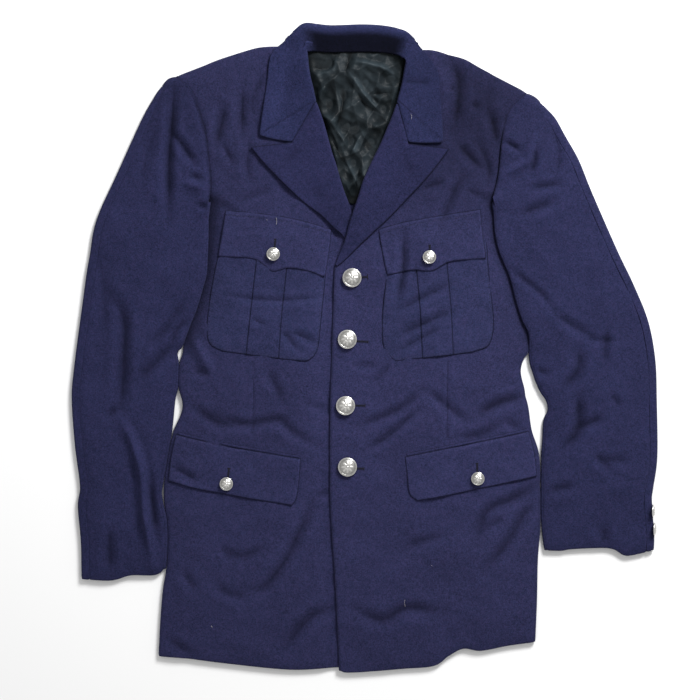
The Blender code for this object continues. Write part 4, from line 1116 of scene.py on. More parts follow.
# A back half lies flat between the centre seam, the side panel's seam and the shoulder, lifted at the neck.
def makeBack(side):
    armRows, sideRows, cols = bodyGrid["backArmRows"], bodyGrid["backSideRows"], bodyGrid["backCols"]
    line, out = shoulderFold(side, bodyGrid["backShares"][side])
    line = (line - out * 6 * cloth["seam"])[:-2]
    centre = curve(centreBack, armRows + sideRows) - [cloth["seam"] / 2 * turnSign(side), 0]
    top = curve([tuple(p) for p in line] + backNeck[side][::-1] + [tuple(centre[0])], cols)
    reach = (cloth["sideRadius"] + cloth["backThick"] / 2 + cloth["sideSeamIn"] * seamSpread(sideRows)
             + cloth["seam"])
    seam = sideLine(side, reach, sideRows)
    bottom = trimmed([(x, y + 3) for x, y in hem[side]], seam[-1], cols, centre[-1])
    arm = armLine(side, cloth["seam"] / 2, armRows)
    arm[0] += 0.13 * (arm[1] - arm[0])
    plan = patch(np.vstack([arm, seam]), centre, top, bottom)
    level = cloth["backMiddle"] + neckLift(plan[..., 0], plan[..., 1])
    shell(f"back_{side}_cloth", raised(plan, level), cloth["backThick"], wool["front"], None,
          f"back_{side}")


for side in sides:
    makeFront(side)
    makeSidePanel(side)
    makeBack(side)
print("body made")

# How fine the sleeves' grids are, and how their folds turn, in degrees.
sleeveGrid = {
    "armRows": 70, "innerRows": 152, "topCols": 56, "underCols": 22,
    "outerAngles": [90, 70, 50, 30, 10, -10, -30, -50, -70, -90],
    "foldRows": {"right": 1, "left": 5},   # rows in which the inner fold opens below the armhole
}
rollAngles = [-90, -65, -40, -15, 10, 35, 60, 80]   # of the inner folds, the collar and the lapels
armFoldIn = cloth["armRadius"] + cloth["sleeveThick"] / 2


# A sleeve is two sheets that meet near the outer fold. The under one turns round both folds: from the seam
# over the outer fold, across the table, and up round the inner fold, which opens where it leaves the armhole.
def makeSleeve(side):
    sign = turnSign(side)
    rows = sleeveGrid["armRows"] + sleeveGrid["innerRows"]
    arm = armLine(side, -cloth["seam"] / 2, sleeveGrid["armRows"])
    arm[0] += 1.9 * (arm[0] - arm[2]) / np.linalg.norm(arm[0] - arm[2])
    inner = np.vstack([arm, curve(sleeveInner[side], sleeveGrid["innerRows"] + 1)[1:]])
    outer = curve(sleeveOuter[side], rows, 0.035)
    toIn = -sideways(inner) * sign
    toOut = sideways(outer) * sign
    outerFold = outer - toOut * armFoldIn
    below = np.arange(rows) >= sleeveGrid["armRows"]
    width = np.linalg.norm(outerFold - inner, axis=1)
    folded = smoothStep((np.arange(rows) - sleeveGrid["armRows"] + 2) / 8)
    bottomIn = curve(cuff[side], 60)
    hindIn = np.minimum(cloth["hindSeamIn"] - armFoldIn, 0.3 * width)[:, None]

    # the shoulder's corner, from the armhole out, is the first row of both leaves
    corner = curve(sleeveOuter[side], 30, 0.004, 0.033)
    corner = corner + sideways(corner) * -sign * cloth["sleeveThick"] / 2

    # a sheet between two lines, as high as the top sleeve or flat on what is below it
    def leaf(left, right, cols, isTop):
        bend = corner if np.linalg.norm(right[0] - left[0]) > 8 else corner[:0]
        top = along(np.vstack([left[:1], bend, right[:1]]), np.linspace(0, 1, cols))
        bottom = trimmed(bottomIn, left[-1], cols, right[-1])
        plan = patch(left, right, top, bottom)
        x, y = plan[..., 0], plan[..., 1]
        if isTop:
            return raised(plan, sleeveHeight(side, x, y))
        inside = nearest(inner, x, y)[0]
        lifted = cloth["overLift"] * overlapped(y) * bell(inside / 20)
        return raised(plan, cloth["sleeveThick"] / 2 + lifted)

    innerEdge = inner - toIn * (folded * (armFoldIn + cloth["seam"]))[:, None]
    upper = leaf(innerEdge, outerFold - toOut * (hindIn + cloth["seam"]), sleeveGrid["topCols"], True)
    seamOff = np.linspace(1, 0, sleeveGrid["topCols"])[None, :] * width[:, None]
    upper[..., 2] -= 0.55 * bell(seamOff / 2.2)
    x, y = upper[..., 0], upper[..., 1]
    seam = nearest(armhole[side], x, y)[0]
    # Painted shade: the creases, a dark line along the armhole seam, and darker towards the shoulder.
    shade = paintedClothShade(x, y, sleeveCreases[side]) * (1 - 0.45 * seamPull(side, y) * bell(seam / 1.4))
    shade = shade * (1 - 0.16 * smoothStep((y - 190) / 110))
    shell(f"top_sleeve_{side}_cloth", upper, cloth["sleeveThick"], wool["sleeve"], shade,
          f"top_sleeve_{side}")

    strip = leaf(outerFold - toOut * hindIn, outerFold, 6, True)
    low = np.full(rows, cloth["sleeveThick"] / 2)
    turned = halfRound(outerFold, toOut, low, strip[:, -1, 2], sleeveGrid["outerAngles"])
    base = inner - toIn * np.where(below, folded * armFoldIn + (1 - folded) * 0.5, 0.4)[:, None]
    under = leaf(base, outerFold, sleeveGrid["underCols"], False)[:, ::-1]
    lowIn = under[:, -1, 2]
    rolled = smoothStep((np.arange(rows) - sleeveGrid["armRows"] + 1) / sleeveGrid["foldRows"][side])
    high = low + 0.4 + (upper[:, 0, 2] - low - 0.4) * rolled
    fold = halfRound(base, toIn, lowIn, high, rollAngles)
    middle = np.concatenate([strip, turned[:, 1:], under[:, 1:], fold[:, 1:]], 1)
    shell(f"under_sleeve_{side}_cloth", middle, cloth["sleeveThick"], wool["sleeve"], None,
          f"under_sleeve_{side}")


for side in sides:
    makeSleeve(side)
print("sleeves made")

# The lines on which the collar and lapels roll over, and the seams between them.
lapelRoll = {side: lapel[side]["roll"] + lapelTail[side]["roll"] for side in sides}
lapelEdge = {side: lapel[side]["edge"] + lapelTail[side]["edge"] for side in sides}
rollLine = {
    "right": np.vstack([curve(collarInner[:7][::-1], 40), curve(lapelRoll["right"], 60)]),
    "left": np.vstack([curve(collarInner[14:], 40), curve(lapelRoll["left"], 60)]),
}
gorge = {side: [lapel[side]["roll"][0], lapel[side]["notch"]] for side in sides}
leafShape = {
    "lay": 2.5,            # a leaf's middle over the front's where it lies
    "lift": {"right": 1.4, "left": 1.6},   # its outer edge stands up
    "rollFall": 3.4,       # the roll is that much higher, falling over this reach
    "rollReach": 46.0,
    "corner": {"right": (-42, 141), "left": (18, 141)},   # a place that is lifted a little
    "cornerLift": 0.5,
    "cornerReach": 15,
    "middle": -8,          # x at which the wearer's left side starts
}
leafCreases = [
    ([(-118, 262), (-104, 300), (-96, 340)], 9, 0.9),
    ([(44, 316), (58, 316), (80, 315)], 5, -1.1),
    ([(-100, 215), (-72, 240)], 8, -0.6),
    ([(60, 205), (45, 232)], 8, -0.7),
    ([(-48, 180), (-66, 190)], 7, -0.6),
]


# Height of the collar and lapels over the fronts: high at the roll, lower beyond it, lifted at the edge. The
# seam between them is a narrow trough with a low swell beside it.
def leafHeight(side, x, y):
    roll = nearest(rollLine[side], x, y)[0]
    seam = nearest(gorge[side], x, y)[0]
    base = bodyHeight(x, y) * 0.5 + 0.5 * (cloth["frontMiddle"] + 4.0) + neckLift(x, y)
    fall = leafShape["rollFall"] * (1 - smoothStep(roll / leafShape["rollReach"]))
    lift = leafShape["lift"][side] * smoothStep((roll - 30) / 45)
    cornerX, cornerY = leafShape["corner"][side]
    flap = leafShape["cornerLift"] * bell(np.hypot(x - cornerX, y - cornerY) / leafShape["cornerReach"])
    waves = 0.22 * ripple(x, y, 41, 46) + 0.08 * ripple(x, y, 42, 17)
    leaf = (base + leafShape["lay"] + fall + lift + flap + waves + creased(x, y, leafCreases)
            - 0.8 * bell(seam / 1.8) + 0.35 * bell((seam - 5) / 3))
    if side == "left":
        low = smoothStep((150 - y) / 50)
        return leaf + (bodyHeight(x, y) + 2.5 - leaf) * low
    # the right lapel's end goes under the left one
    leftRoll = curve(lapelRoll["left"], 60)[::-1]
    beyond = x - np.interp(y, leftRoll[:, 1], leftRoll[:, 0])
    crossing = smoothStep((beyond + 13) / 14) * smoothStep((196 - y) / 26)
    return leaf + (bodyHeight(x, y) - 0.3 - leaf) * crossing


# A height that is taken from the function for the side that each place is on.
def onBothSides(height, x, y):
    return np.where(x < leafShape["middle"], height("right", x, y), height("left", x, y))


# The lining fills the neck opening: free and crumpled in the middle, held down along its edges.
def makeLining():
    rows, cols = 176, 112
    right = curve(liningEdge["right"], rows)
    left = curve(liningEdge["left"], rows)
    top = curve([liningEdge["right"][0], (-8, 368), liningEdge["left"][0]], cols)
    bottom = curve([liningEdge["right"][-1], (-14, 172), liningEdge["left"][-1]], cols)
    plan = patch(right, left, top, bottom)
    x, y = plan[..., 0], plan[..., 1]
    u = np.linspace(0, 1, cols)[None, :]
    v = np.linspace(0, 1, rows)[:, None]
    free = smoothStep(np.minimum(u, 1 - u) / 0.12)
    free = free * smoothStep((v - 0.06) / 0.1) * smoothStep((1 - v) / 0.12)
    lowest = cloth["backThick"] + neckLift(x, y) + cloth["lay"] + cloth["liningThick"] / 2 + 0.2
    wide, wideFacetReflection = facets(x, y, 54, 34, 1.7, 1.0)
    fine, fineFacetReflection = facets(x, y, 56, 17, 1.6, -0.9)
    folds = creased(x, y, liningCreases, 0.8)
    puff = 3.2 + 1.6 * folds + 0.35 * crumpled(x, y, 51, 60) + 0.4 * wide + 0.26 * fine
    height = lowest + free * np.maximum(puff, 0.1)
    # Painted shade and light: lighter on the creases' ridges and darker in their troughs, darker towards the
    # held edges, and a painted reflection of its own for each facet.
    shade = np.clip(1 + 0.35 * folds, 0.3, 1.7) * (0.5 + 0.5 * free)
    shade = shade * (0.35 + 0.75 * wideFacetReflection + 0.55 * fineFacetReflection)
    shell("lining_cloth", raised(plan, height), cloth["liningThick"], satin, shade, "lining")


# The collar turns round the roll on both sides. Behind the neck it is a standing band that curls over and
# down to the table. A flat strip below the curl is the under collar.
def makeCollar():
    # rows run between these places on the roll and on the outer edge; they fan out at the two corners
    innerStops = [collarInner[0], collarInner[3], (-69.3, 361), (-55.8, 365), (41.4, 365), (52.9, 361),
                  collarInner[17], collarInner[-1]]
    outerStops = [collarOuter[0], (-113, 342), (-91, 371.5), (-62, 386.8), (45, 379.5), (61, 364.5),
                  (87, 332), collarOuter[-1]]
    inner, outer = [], []
    for k, count in enumerate([40, 26, 30, 70, 30, 34, 36]):
        skipped = 1 if k else 0
        inner.append(trimmed(collarInner, innerStops[k], count + 1, innerStops[k + 1])[skipped:])
        outer.append(trimmed(collarOuter, outerStops[k], count + 1, outerStops[k + 1])[skipped:])
    inner, outer = np.vstack(inner), np.vstack(outer)
    rows = len(inner)
    cols = 46
    endRight = along(collarEnd["right"], np.linspace(0, 1, cols))
    endLeft = along(collarEnd["left"], np.linspace(0, 1, cols))
    plan = patch(inner, outer, endRight, endLeft)
    behind = smoothStep((inner[:, 0] + 69.3) / 16) * smoothStep((53.4 - inner[:, 0]) / 15)
    behind = behind * smoothStep((inner[:, 1] - 358) / 4)
    away = unit(plan[:, 1] - plan[:, 0])
    awayOut = unit(plan[:, -1] - plan[:, -2])
    thick = cloth["collarThick"]
    low = onBothSides(frontHeight, inner[:, 0], inner[:, 1])
    # each row runs from the roll's or the band's start to the edge, or to the ridge behind the neck
    startIn = (1 - behind) * (cloth["rollRadius"] + thick / 2) + behind * 0.5
    endIn = behind * 6.5 + (1 - behind) * thick / 2
    length = np.linalg.norm(np.diff(plan, axis=1), axis=2).sum(1)
    shares = np.linspace(0, 1, cols)
    cut = np.zeros_like(plan)
    for k in range(rows):
        cut[k] = along(plan[k], (startIn[k] + (length[k] - startIn[k] - endIn[k]) * shares) / length[k])
    x, y = cut[..., 0], cut[..., 1]
    leafLevel = onBothSides(leafHeight, x, y)
    band = 5.6 + 7.2 * smoothStep(shares)[None, :] + 0.15 * ripple(x, y, 61, 30)
    height = leafLevel + (band - leafLevel) * behind[:, None]
    rollLow = low + (height[:, 0] - low - 0.4) * behind
    turned = halfRound(cut[:, 0], -away, rollLow, height[:, 0], rollAngles, 0.8)
    edgeLow = height[:, -1] - behind * (height[:, -1] - 2.0)
    curl = halfRound(cut[:, -1], awayOut, edgeLow, height[:, -1], [78, 55, 30, 5, -20, -45, -70, -90])
    middle = np.concatenate([turned, raised(cut, height), curl], 1)
    # Painted shade: the standing band behind the neck and its roll much darker, a thin dark line along the
    # outer edge and the ends, the creases, and a darker patch on the wearer's left.
    dark = behind[:, None] * (1 - smoothStep((shares - 0.78) / 0.22))[None, :]
    rim = nearest(np.vstack([endRight[::-1], outer, endLeft]), x, y)[0]
    edge = 1 - 0.45 * (1 - behind[:, None]) * bell(rim / 0.8)
    besideRoll = np.repeat(1 - 0.85 * behind[:, None], turned.shape[1], 1)
    shade = np.concatenate([besideRoll, edge * (1 - 0.85 * dark), np.ones(curl.shape[:2])], 1)
    shade = shade * paintedClothShade(middle[..., 0], middle[..., 1], leafCreases, [(70, 330, 60, 60, -0.2)])
    shell("collar_cloth", middle, thick, wool["collar"], shade, "collar")
    # the under collar lies on the table below the curl
    back = behind > 0.3
    first = cut[back, -1] - awayOut[back]
    level = np.full(int(back.sum()), thick / 2)
    leaf = [raised(first - awayOut[back] * cloth["underCollar"] * k, level)[:, None]
            for k in np.linspace(0, 1, 14)]
    shell("under_collar_cloth", np.concatenate(leaf, 1), thick, wool["collar"], None,
          "under_collar")


# A lapel turns round its roll and lies on the front. Its top follows the seam to the notch, then its edge.
def makeLapel(side):
    rows, cols, seamCols = 112, 84, 35
    roll = curve(lapelRoll[side], rows)
    edge = curve(lapelEdge[side], rows)
    peak = [lapel[side]["notch"], lapel[side]["edge"][0]]
    top = np.vstack([along(gorge[side], np.linspace(0, 1, seamCols)),
                     along(peak, np.linspace(0, 1, cols - seamCols + 1))[1:]])
    bottom = np.linspace(roll[-1], edge[-1], cols)
    plan = patch(roll, edge, top, bottom)
    radius = rollRadius(rows)
    length = np.linalg.norm(np.diff(plan, axis=1), axis=2).sum(1)
    reach = np.minimum(radius + cloth["lapelThick"] / 2, 0.45 * length)
    cut = np.zeros_like(plan)
    for k in range(rows):
        run = shareOf(plan[k]) * length[k]
        cut[k] = along(plan[k], (reach[k] + (length[k] - reach[k]) * run / length[k]) / length[k])
    x, y = cut[..., 0], cut[..., 1]
    height = leafHeight(side, x, y)
    base = np.minimum(frontHeight(side, x[:, 0], y[:, 0]), height[:, 0] - 1.6)
    away = unit(cut[:, 1] - cut[:, 0])
    bulge = np.minimum(0.8, (reach - 0.6) / np.maximum((height[:, 0] - base) / 2, 0.1))
    turned = halfRound(cut[:, 0], -away, base, height[:, 0], rollAngles, bulge[:, None])
    tail = smoothStep((np.arange(rows)[::-1] + 2) / 26)[:, None]
    rim = nearest(np.vstack([curve(peak, 12), edge]), x, y)[0]
    middle = np.concatenate([turned, raised(cut, height - 0.25 * bell(rim / 1.3))], 1)
    # Painted shade: the creases, a darker patch on the wearer's left, and a thin dark line along the outer
    # edge and the peak.
    shade = paintedClothShade(middle[..., 0], middle[..., 1], leafCreases, [(90, 230, 60, 60, -0.1)])
    shade[:, turned.shape[1]:] *= 1 - 0.45 * bell(rim / 0.8)
    thick = 1.2 + (cloth["lapelThick"] - 1.2) * tail   # thinner where it ends
    shell(f"lapel_{side}_cloth", middle, thick, wool["lapel"], shade, f"lapel_{side}")


makeLining()
for side in sides:
    makeLapel(side)
makeCollar()
print("neck made")

# Pockets, flaps and the strips at the hip pockets' mouths.
pocketShape = {
    "pleatRise": 0.85,
    "puff": 0.4,
    "overPocket": 1.2,     # a flap's free edge over the pocket, and over its pleat
    "overPleat": 0.95,
}
flapShape = {
    # outlines, usual width and height, shares across and down, and how deep the stitches below the seam are
    "breast": {"outline": breastFlap, "size": (127, 55), "counts": (92, 40), "topStitch": 1.0},
    "hip": {"outline": hipFlap, "size": (146, 56), "counts": (104, 40), "topStitch": 0.0},
}
jetShape = {"width": 3.6, "thick": 0.5}
frontTop = cloth["frontThick"] / 2


# Points at shares of the length of a smooth curve.
def sampled(line, shares):
    return along(curve(line, 301), shares)


# Shares from 0 to 1, with extra ones close to the ends that are asked for.
def endShares(count, length, first, last):
    close = np.array([0.45, 0.95, 1.6]) / length
    even = np.linspace(0, 1, count)
    if first:
        even = np.concatenate([[0], close, even[even > close[-1] * 1.5]])
    if last:
        even = np.concatenate([even[even < 1 - close[-1] * 1.5], 1 - close[::-1], [1]])
    return even


# A breast pocket is three panels side by side, and the middle one, between the pleat's folds, is raised. Each
# panel is ruled between its two lines and then moved so that it ends on the pocket's top and bottom.
def makePocket(side):
    shape = breastPocket[side]
    first, second = (curve(line, 200) for line in pleatLines[side])
    top = curve(shape["top"], 400)
    v = endShares(84, 140, False, True)
    lines = [sampled(shape["left"], v), along(first, v), along(second, v), sampled(shape["right"], v)]
    lines[1][0] = top[np.argmin(np.linalg.norm(top - first[0], axis=1))]
    lines[2][0] = top[np.argmin(np.linalg.norm(top - second[0], axis=1))]
    grids, across = [], []
    for k, (left, right, count) in enumerate(zip(lines, lines[1:], (26, 22, 30))):
        width = float(np.linalg.norm(right[40] - left[40]))
        u = endShares(count, width, True, True)
        if k:
            u = u[1:]
        upper = along(trimmed(shape["top"], left[0], 60, right[0]), u)
        lower = along(trimmed(shape["bottom"], left[-1], 60, right[-1]), u)
        share = u[None, :, None]
        ruled = left[:, None] * (1 - share) + right[:, None] * share
        down = v[:, None, None]
        ends = (1 - down) * (upper - (left[0] * (1 - share[0]) + right[0] * share[0]))[None]
        ends = ends + down * (lower - (left[-1] * (1 - share[0]) + right[-1] * share[0]))[None]
        grids.append(ruled + ends)
        across.append(k + u)
    plan = np.concatenate(grids, 1)
    across = np.concatenate(across)
    x, y = plan[..., 0], plan[..., 1]
    outline = np.vstack([curve(shape["left"], 120), curve(shape["bottom"], 120),
                         curve(shape["right"], 120)[::-1]])
    edge = nearest(outline, x, y)[0]
    thick = 0.5 + (cloth["pocketThick"] - 0.5) * smoothStep(edge / 2.5)
    pleat = np.minimum(nearest(first, x, y)[0], nearest(second, x, y)[0])
    middle = ((across > 1.0001) & (across < 1.9999))[None, :] * smoothStep(pleat / 0.6)
    soft = 1 - 0.35 * smoothStep((v - 0.75) / 0.25)
    stitch = -0.25 * bell((edge - 2.6) / 0.9)
    puff = pocketShape["puff"] * smoothStep((edge - 1) / 9)
    height = (frontHeight(side, x, y) + frontTop + 0.12 + thick / 2 + puff + stitch
              + pocketShape["pleatRise"] * middle * soft[:, None] - 0.25 * bell(pleat / 0.8))
    # Painted shade: the body's creases and patches, and dark lines along the pleat's folds and the pocket's
    # edges.
    shade = paintedClothShade(x, y, bodyCreases, bodyPaintedShade)
    shade = shade * (1 - 0.7 * bell(pleat / 0.8)) * (1 - 0.75 * bell(edge / 0.9))
    shell(f"breast_pocket_{side}_cloth", raised(plan, height), thick, wool["pocket"], shade,
          f"breast_pocket_{side}")


# How far the free part of a flap is lifted: over the breast pocket and its pleat, or just off the front.
def flapLift(kind, side, x, fromTop):
    if kind == "hip":
        return 0.5 * smoothStep(fromTop / 50)
    first, second = (line[0][0] for line in pleatLines[side])
    pleat = pocketShape["overPleat"] * np.exp(-((x - 0.5 * (first + second)) / 26) ** 4)
    return (pocketShape["overPocket"] + pleat) * smoothStep(fromTop / 36)


# A flap is sewn down along its top edge, has a row of stitches below the seam, and lies free below.
def makeFlap(kind, side):
    shape = flapShape[kind]["outline"][side]
    width, tall = flapShape[kind]["size"]
    across, down = flapShape[kind]["counts"]
    topStitch = flapShape[kind]["topStitch"]
    u = endShares(across, width, True, True)
    v = endShares(down, tall, True, True)
    plan = patch(sampled(shape["left"], v), sampled(shape["right"], v), sampled(shape["top"], u),
                 sampled(shape["bottom"], u))
    x, y = plan[..., 0], plan[..., 1]
    fromTop = nearest(curve(shape["top"], 120), x, y)[0]
    free = np.vstack([curve(shape["left"], 60), curve(shape["bottom"], 120), curve(shape["right"], 60)[::-1]])
    edge = nearest(free, x, y)[0]
    thick = 0.45 + (cloth["flapThick"] - 0.45) * smoothStep(np.minimum(fromTop, edge + 1.2) / 3)
    height = (frontHeight(side, x, y) + frontTop + 0.12 + thick / 2 + flapLift(kind, side, x, fromTop)
              + 0.7 * smoothStep((fromTop - 0.5) / 3) - 0.35 * topStitch * bell((fromTop - 5.5) / 1.0)
              - 0.3 * bell(edge / 1.5) - 0.15 * bell((edge - 5.5) / 1.0) * smoothStep(fromTop / 8))
    # Painted shade along the sewn top edge, the free edges and, on the breast flaps, the row of stitches;
    # painted light in a narrow band just inside the free edges.
    shade = paintedClothShade(x, y, bodyCreases, bodyPaintedShade)
    shade = shade * (1 - 0.6 * bell(fromTop / 0.8)) * (1 - 0.6 * bell(edge / 0.7))
    shade = shade * (1 - 0.3 * topStitch * bell((fromTop - 5.5) / 0.6)) * (1 + 0.1 * bell((edge - 1.8) / 0.9))
    name = f"{kind}_flap_{side}"
    shell(f"{name}_cloth", raised(plan, height), thick, wool["flap"], shade, name)


# The pocket's mouth is bound by a jet, a narrow folded strip that shows above the hip flap.
def makeHipJet(side):
    line = curve(hipFlap[side]["top"], 120)[2:-2]
    offs = -np.linspace(jetShape["width"], 0.4, 7)
    plan = line[None] + sideways(line)[None] * offs[:, None, None]
    x, y = plan[..., 0], plan[..., 1]
    share = np.linspace(0, 1, 7)[:, None]
    height = frontHeight(side, x, y) + frontTop + 0.1 + jetShape["thick"] / 2 + 0.25 * np.sin(math.pi * share)
    # Painted shade: the body's creases and patches, and darker towards the jet's two long edges, where its
    # rounded top falls away.
    shade = paintedClothShade(x, y, bodyCreases, bodyPaintedShade) * (0.55 + 0.45 * np.sin(math.pi * share))
    shell(f"hip_jet_{side}_cloth", raised(plan, height), jetShape["thick"], wool["flap"], shade)


for side in sides:
    makePocket(side)
    for kind in ("breast", "hip"):
        makeFlap(kind, side)
    makeHipJet(side)
print("pockets made")

# Buttons: their relief, and where each one sits.
buttonShape = {
    "sides": 60, "domeRows": 26, "petals": 8, "beads": 40, "petalRise": 0.32, "beadRise": 0.22,
    "shank": 1.6,
    # the band and the rim round the dome, as shares of the radius and of the dome's rise
    "band": [(0.77, 0.50), (0.80, 0.47), (0.83, 0.52), (0.87, 0.54), (0.90, 0.50), (0.925, 0.46),
             (0.95, 0.50), (0.975, 0.50), (0.995, 0.42), (1.0, 0.30), (0.985, 0.18), (0.94, 0.07),
             (0.88, 0.0)],
}
buttons = {
    # name: x, y, diameter
    "front_button_1": (-15, 83.3, 22.6),
    "front_button_2": (-20.6, 10, 22.6),
    "front_button_3": (-22.7, -69, 22.6),
    "front_button_4": (-20.4, -142, 22.6),
    "breast_button_right": (-108.6, 111.3, 15.7),
    "breast_button_left": (76.9, 107.7, 15.7),
    "hip_button_right": (-164.5, -162, 15.7),
    "hip_button_left": (134.6, -155.7, 15.7),
}
cuffButtons = {"cuff_button_1": -194.7, "cuff_button_2": -216.3}   # y of each
cuffSeat = {"diameter": 15.7, "lean": 75, "in": 0.6, "high": 7.9}


# A turned button about its own axis, its back at 0: a dome with a plain rosette, a beaded band and a rim. The
# rosette's petals end where a cosine round the axis says, and the beads are a sine on the band.
def buttonPoints(diameter, shank, turn):
    r = diameter / 2
    rise = diameter * 0.21
    sidesCount = buttonShape["sides"]
    dome = np.linspace(0.02, 0.74, buttonShape["domeRows"])
    profile = [(k * r, shank + rise * (1 - 0.62 * k**2)) for k in dome]
    profile += [(k * r, shank + rise * z) for k, z in buttonShape["band"]]
    if shank:
        profile += [(2.6, shank), (2.2, shank - 0.3), (2.2, 0.3), (2.0, 0.05), (0.3, 0.0)]
    else:
        profile += [(0.5 * r, 0.0), (0.05 * r, 0.0)]
    profile = np.array(profile)
    angle = np.arange(sidesCount) * 2 * math.pi / sidesCount + turn
    k = profile[:, 0:1] / r
    inDome = (np.arange(len(profile)) < len(dome))[:, None]
    petals = np.abs(np.cos(buttonShape["petals"] / 2 * angle))[None, :]
    reach = 0.24 + 0.42 * petals
    rosette = smoothStep((reach - k) / 0.07) * smoothStep((k - 0.12) / 0.06) - 0.6 * bell((k - 0.17) / 0.03)
    centre = smoothStep((0.13 - k) / 0.05)
    around = np.abs(np.sin(buttonShape["beads"] / 2 * angle))[None, :]
    beads = bell((k - 0.855) / 0.025) * around * (1 - inDome)
    beads = beads * (profile[:, 1:2] > shank + 0.3 * rise)
    z = profile[:, 1:2] + buttonShape["petalRise"] * (rosette + centre) * inDome
    z = z + buttonShape["beadRise"] * beads
    relief = (rosette + centre) * inDome + beads
    # Painted shade: darker in the low parts between and round the petals and between the beads; the raised
    # relief and the rim keep the full tone.
    shade = np.where(inDome, 0.3 + 0.7 * smoothStep((relief + 0.5) / 1.1),
                     0.5 + 0.5 * smoothStep(beads + (k > 0.93)))
    ring = np.stack([profile[:, 0:1] * np.cos(angle)[None], profile[:, 0:1] * np.sin(angle)[None],
                     np.broadcast_to(z, (len(profile), sidesCount))], -1)
    points = np.vstack([[[0, 0, z[0].mean()]], ring.reshape(-1, 3), [[0, 0, z[-1].mean()]]])
    index = 1 + np.arange(len(profile) * sidesCount).reshape(len(profile), sidesCount)
    following = np.roll(index, -1, axis=1)
    quads = np.stack([index[:-1], index[1:], following[1:], following[:-1]], -1).reshape(-1, 4)
    firstFan = np.stack([np.zeros(sidesCount, int), index[0], following[0]], -1)
    lastFan = np.stack([np.full(sidesCount, len(points) - 1), following[-1], index[-1]], -1)
    tone = np.concatenate([[1.0], np.broadcast_to(shade, z.shape).ravel(), [1.0]])
    return points, quads.tolist() + np.vstack([firstFan, lastFan]).tolist(), tone


# A small piece from its points in millimetres, its faces and the tone of each point.
def addMesh(name, points, faces, tone, finish, replaced=None):
    mesh = bpy.data.meshes.new(name)
    mesh.from_pydata((np.asarray(points) * mm).tolist(), [], faces)
    mesh.polygons.foreach_set("use_smooth", np.ones(len(mesh.polygons), bool))
    addPiece(name, mesh, tone, finish, replaced)


# Height of the highest finished top surface near a place.
def topAt(x, y, names, reach):
    best = 0.0
    for name in names:
        grid = pieces[name]["top"]
        near = np.hypot(grid[:, 0] - x, grid[:, 1] - y) < reach
        if near.any():
            best = max(best, float(grid[near, 2].max()))
    return best


# The front, breast and hip buttons stand on the cloth and tilt a little. The cuff's are on the outer fold.
def makeButtons():
    beds = ["front_left_cloth"] + [f"{kind}_flap_{side}_cloth" for kind in flapShape for side in sides]
    shank = buttonShape["shank"]
    for number, (name, (x, y, diameter)) in enumerate(buttons.items()):
        z = max(topAt(x, y, beds, 3.0) + 0.1, topAt(x, y, beds, diameter / 2) + 0.1 - shank)
        points, faces, tone = buttonPoints(diameter, shank, 0.4 * number)
        tilt = np.radians([1.5 * math.sin(number * 2.1), 1.8 * math.cos(number * 1.7)])
        points[:, 2] += points[:, 0] * tilt[0] + points[:, 1] * tilt[1]
        points = points + [x, y, z]
        addMesh(f"{name}_metal", points, faces, tone, nickel, name)
    edge = curve(sleeveOuter["left"], 200)
    lean = math.radians(cuffSeat["lean"])
    for number, (name, y) in enumerate(cuffButtons.items()):
        x = float(np.interp(-y, -edge[:, 1], edge[:, 0])) - cuffSeat["in"]
        points, faces, tone = buttonPoints(cuffSeat["diameter"], 0.0, 0.3 + number)
        turned = np.stack([points[:, 0] * math.cos(lean) + points[:, 2] * math.sin(lean), points[:, 1],
                           -points[:, 0] * math.sin(lean) + points[:, 2] * math.cos(lean)], 1)
        points = turned + [x, y, cuffSeat["high"]]
        addMesh(f"{name}_metal", points, faces, tone, nickel, name)


makeButtons()
print("buttons made")

# Stitches, buttonholes and lint.
stitching = {
    "pitch": 3.1, "length": 2.3, "radius": 0.24,
    "pocketInset": 2.4, "flapInset": {"breast": 5.5, "hip": 1.6},
    "wander": 0.12,        # out of line
}
holes = {
    # name: cloth, start under the button, end, length of the bar across the end
    "breast_right": ("breast_flap_right_cloth", (-107.6, 112), (-106.2, 129.3), 2.6),
    "breast_left": ("breast_flap_left_cloth", (77, 108), (77.4, 122.1), 2.6),
    "hip_right": ("hip_flap_right_cloth", (-163.4, -162), (-161.4, -143.4), 4.6),
    "hip_left": ("hip_flap_left_cloth", (134.4, -156), (133.8, -137.4), 3.4),
    "front_1": ("front_left_cloth", (-15, 83.6), (3.6, 84.3), 7.0),
    "front_2": ("front_left_cloth", (-19.5, 8.5), (4.2, 6.9), 3.4),
    "front_3": ("front_left_cloth", (-22, -69), (0.6, -69), 3.4),
    "front_4": ("front_left_cloth", (-20, -143), (-0.6, -144.3), 3.4),
}
lint = [
    # points along the fibre, radius
    ([(-105.4, 155), (-104.6, 151), (-105.2, 146.5)], 0.3),
    ([(55, 278), (56, 275), (55.4, 271.5)], 0.26),
    ([(48.2, -300), (47.6, -304), (48.6, -309)], 0.28),
    ([(-183, -331.6), (-181.6, -333.6)], 0.32),
    ([(-117, 152.6), (-116.2, 151.8)], 0.3),
    ([(79.2, -259), (80.6, -260.2)], 0.22),
]


# Height of a finished piece's top at a place, from its four closest points.
def surfaceAt(name, x, y):
    grid = pieces[name]["top"]
    off = (grid[:, 0] - x) ** 2 + (grid[:, 1] - y) ** 2
    close = np.argpartition(off, 4)[:4]
    share = 1 / (off[close] + 0.01)
    return float((grid[close, 2] * share).sum() / share.sum())


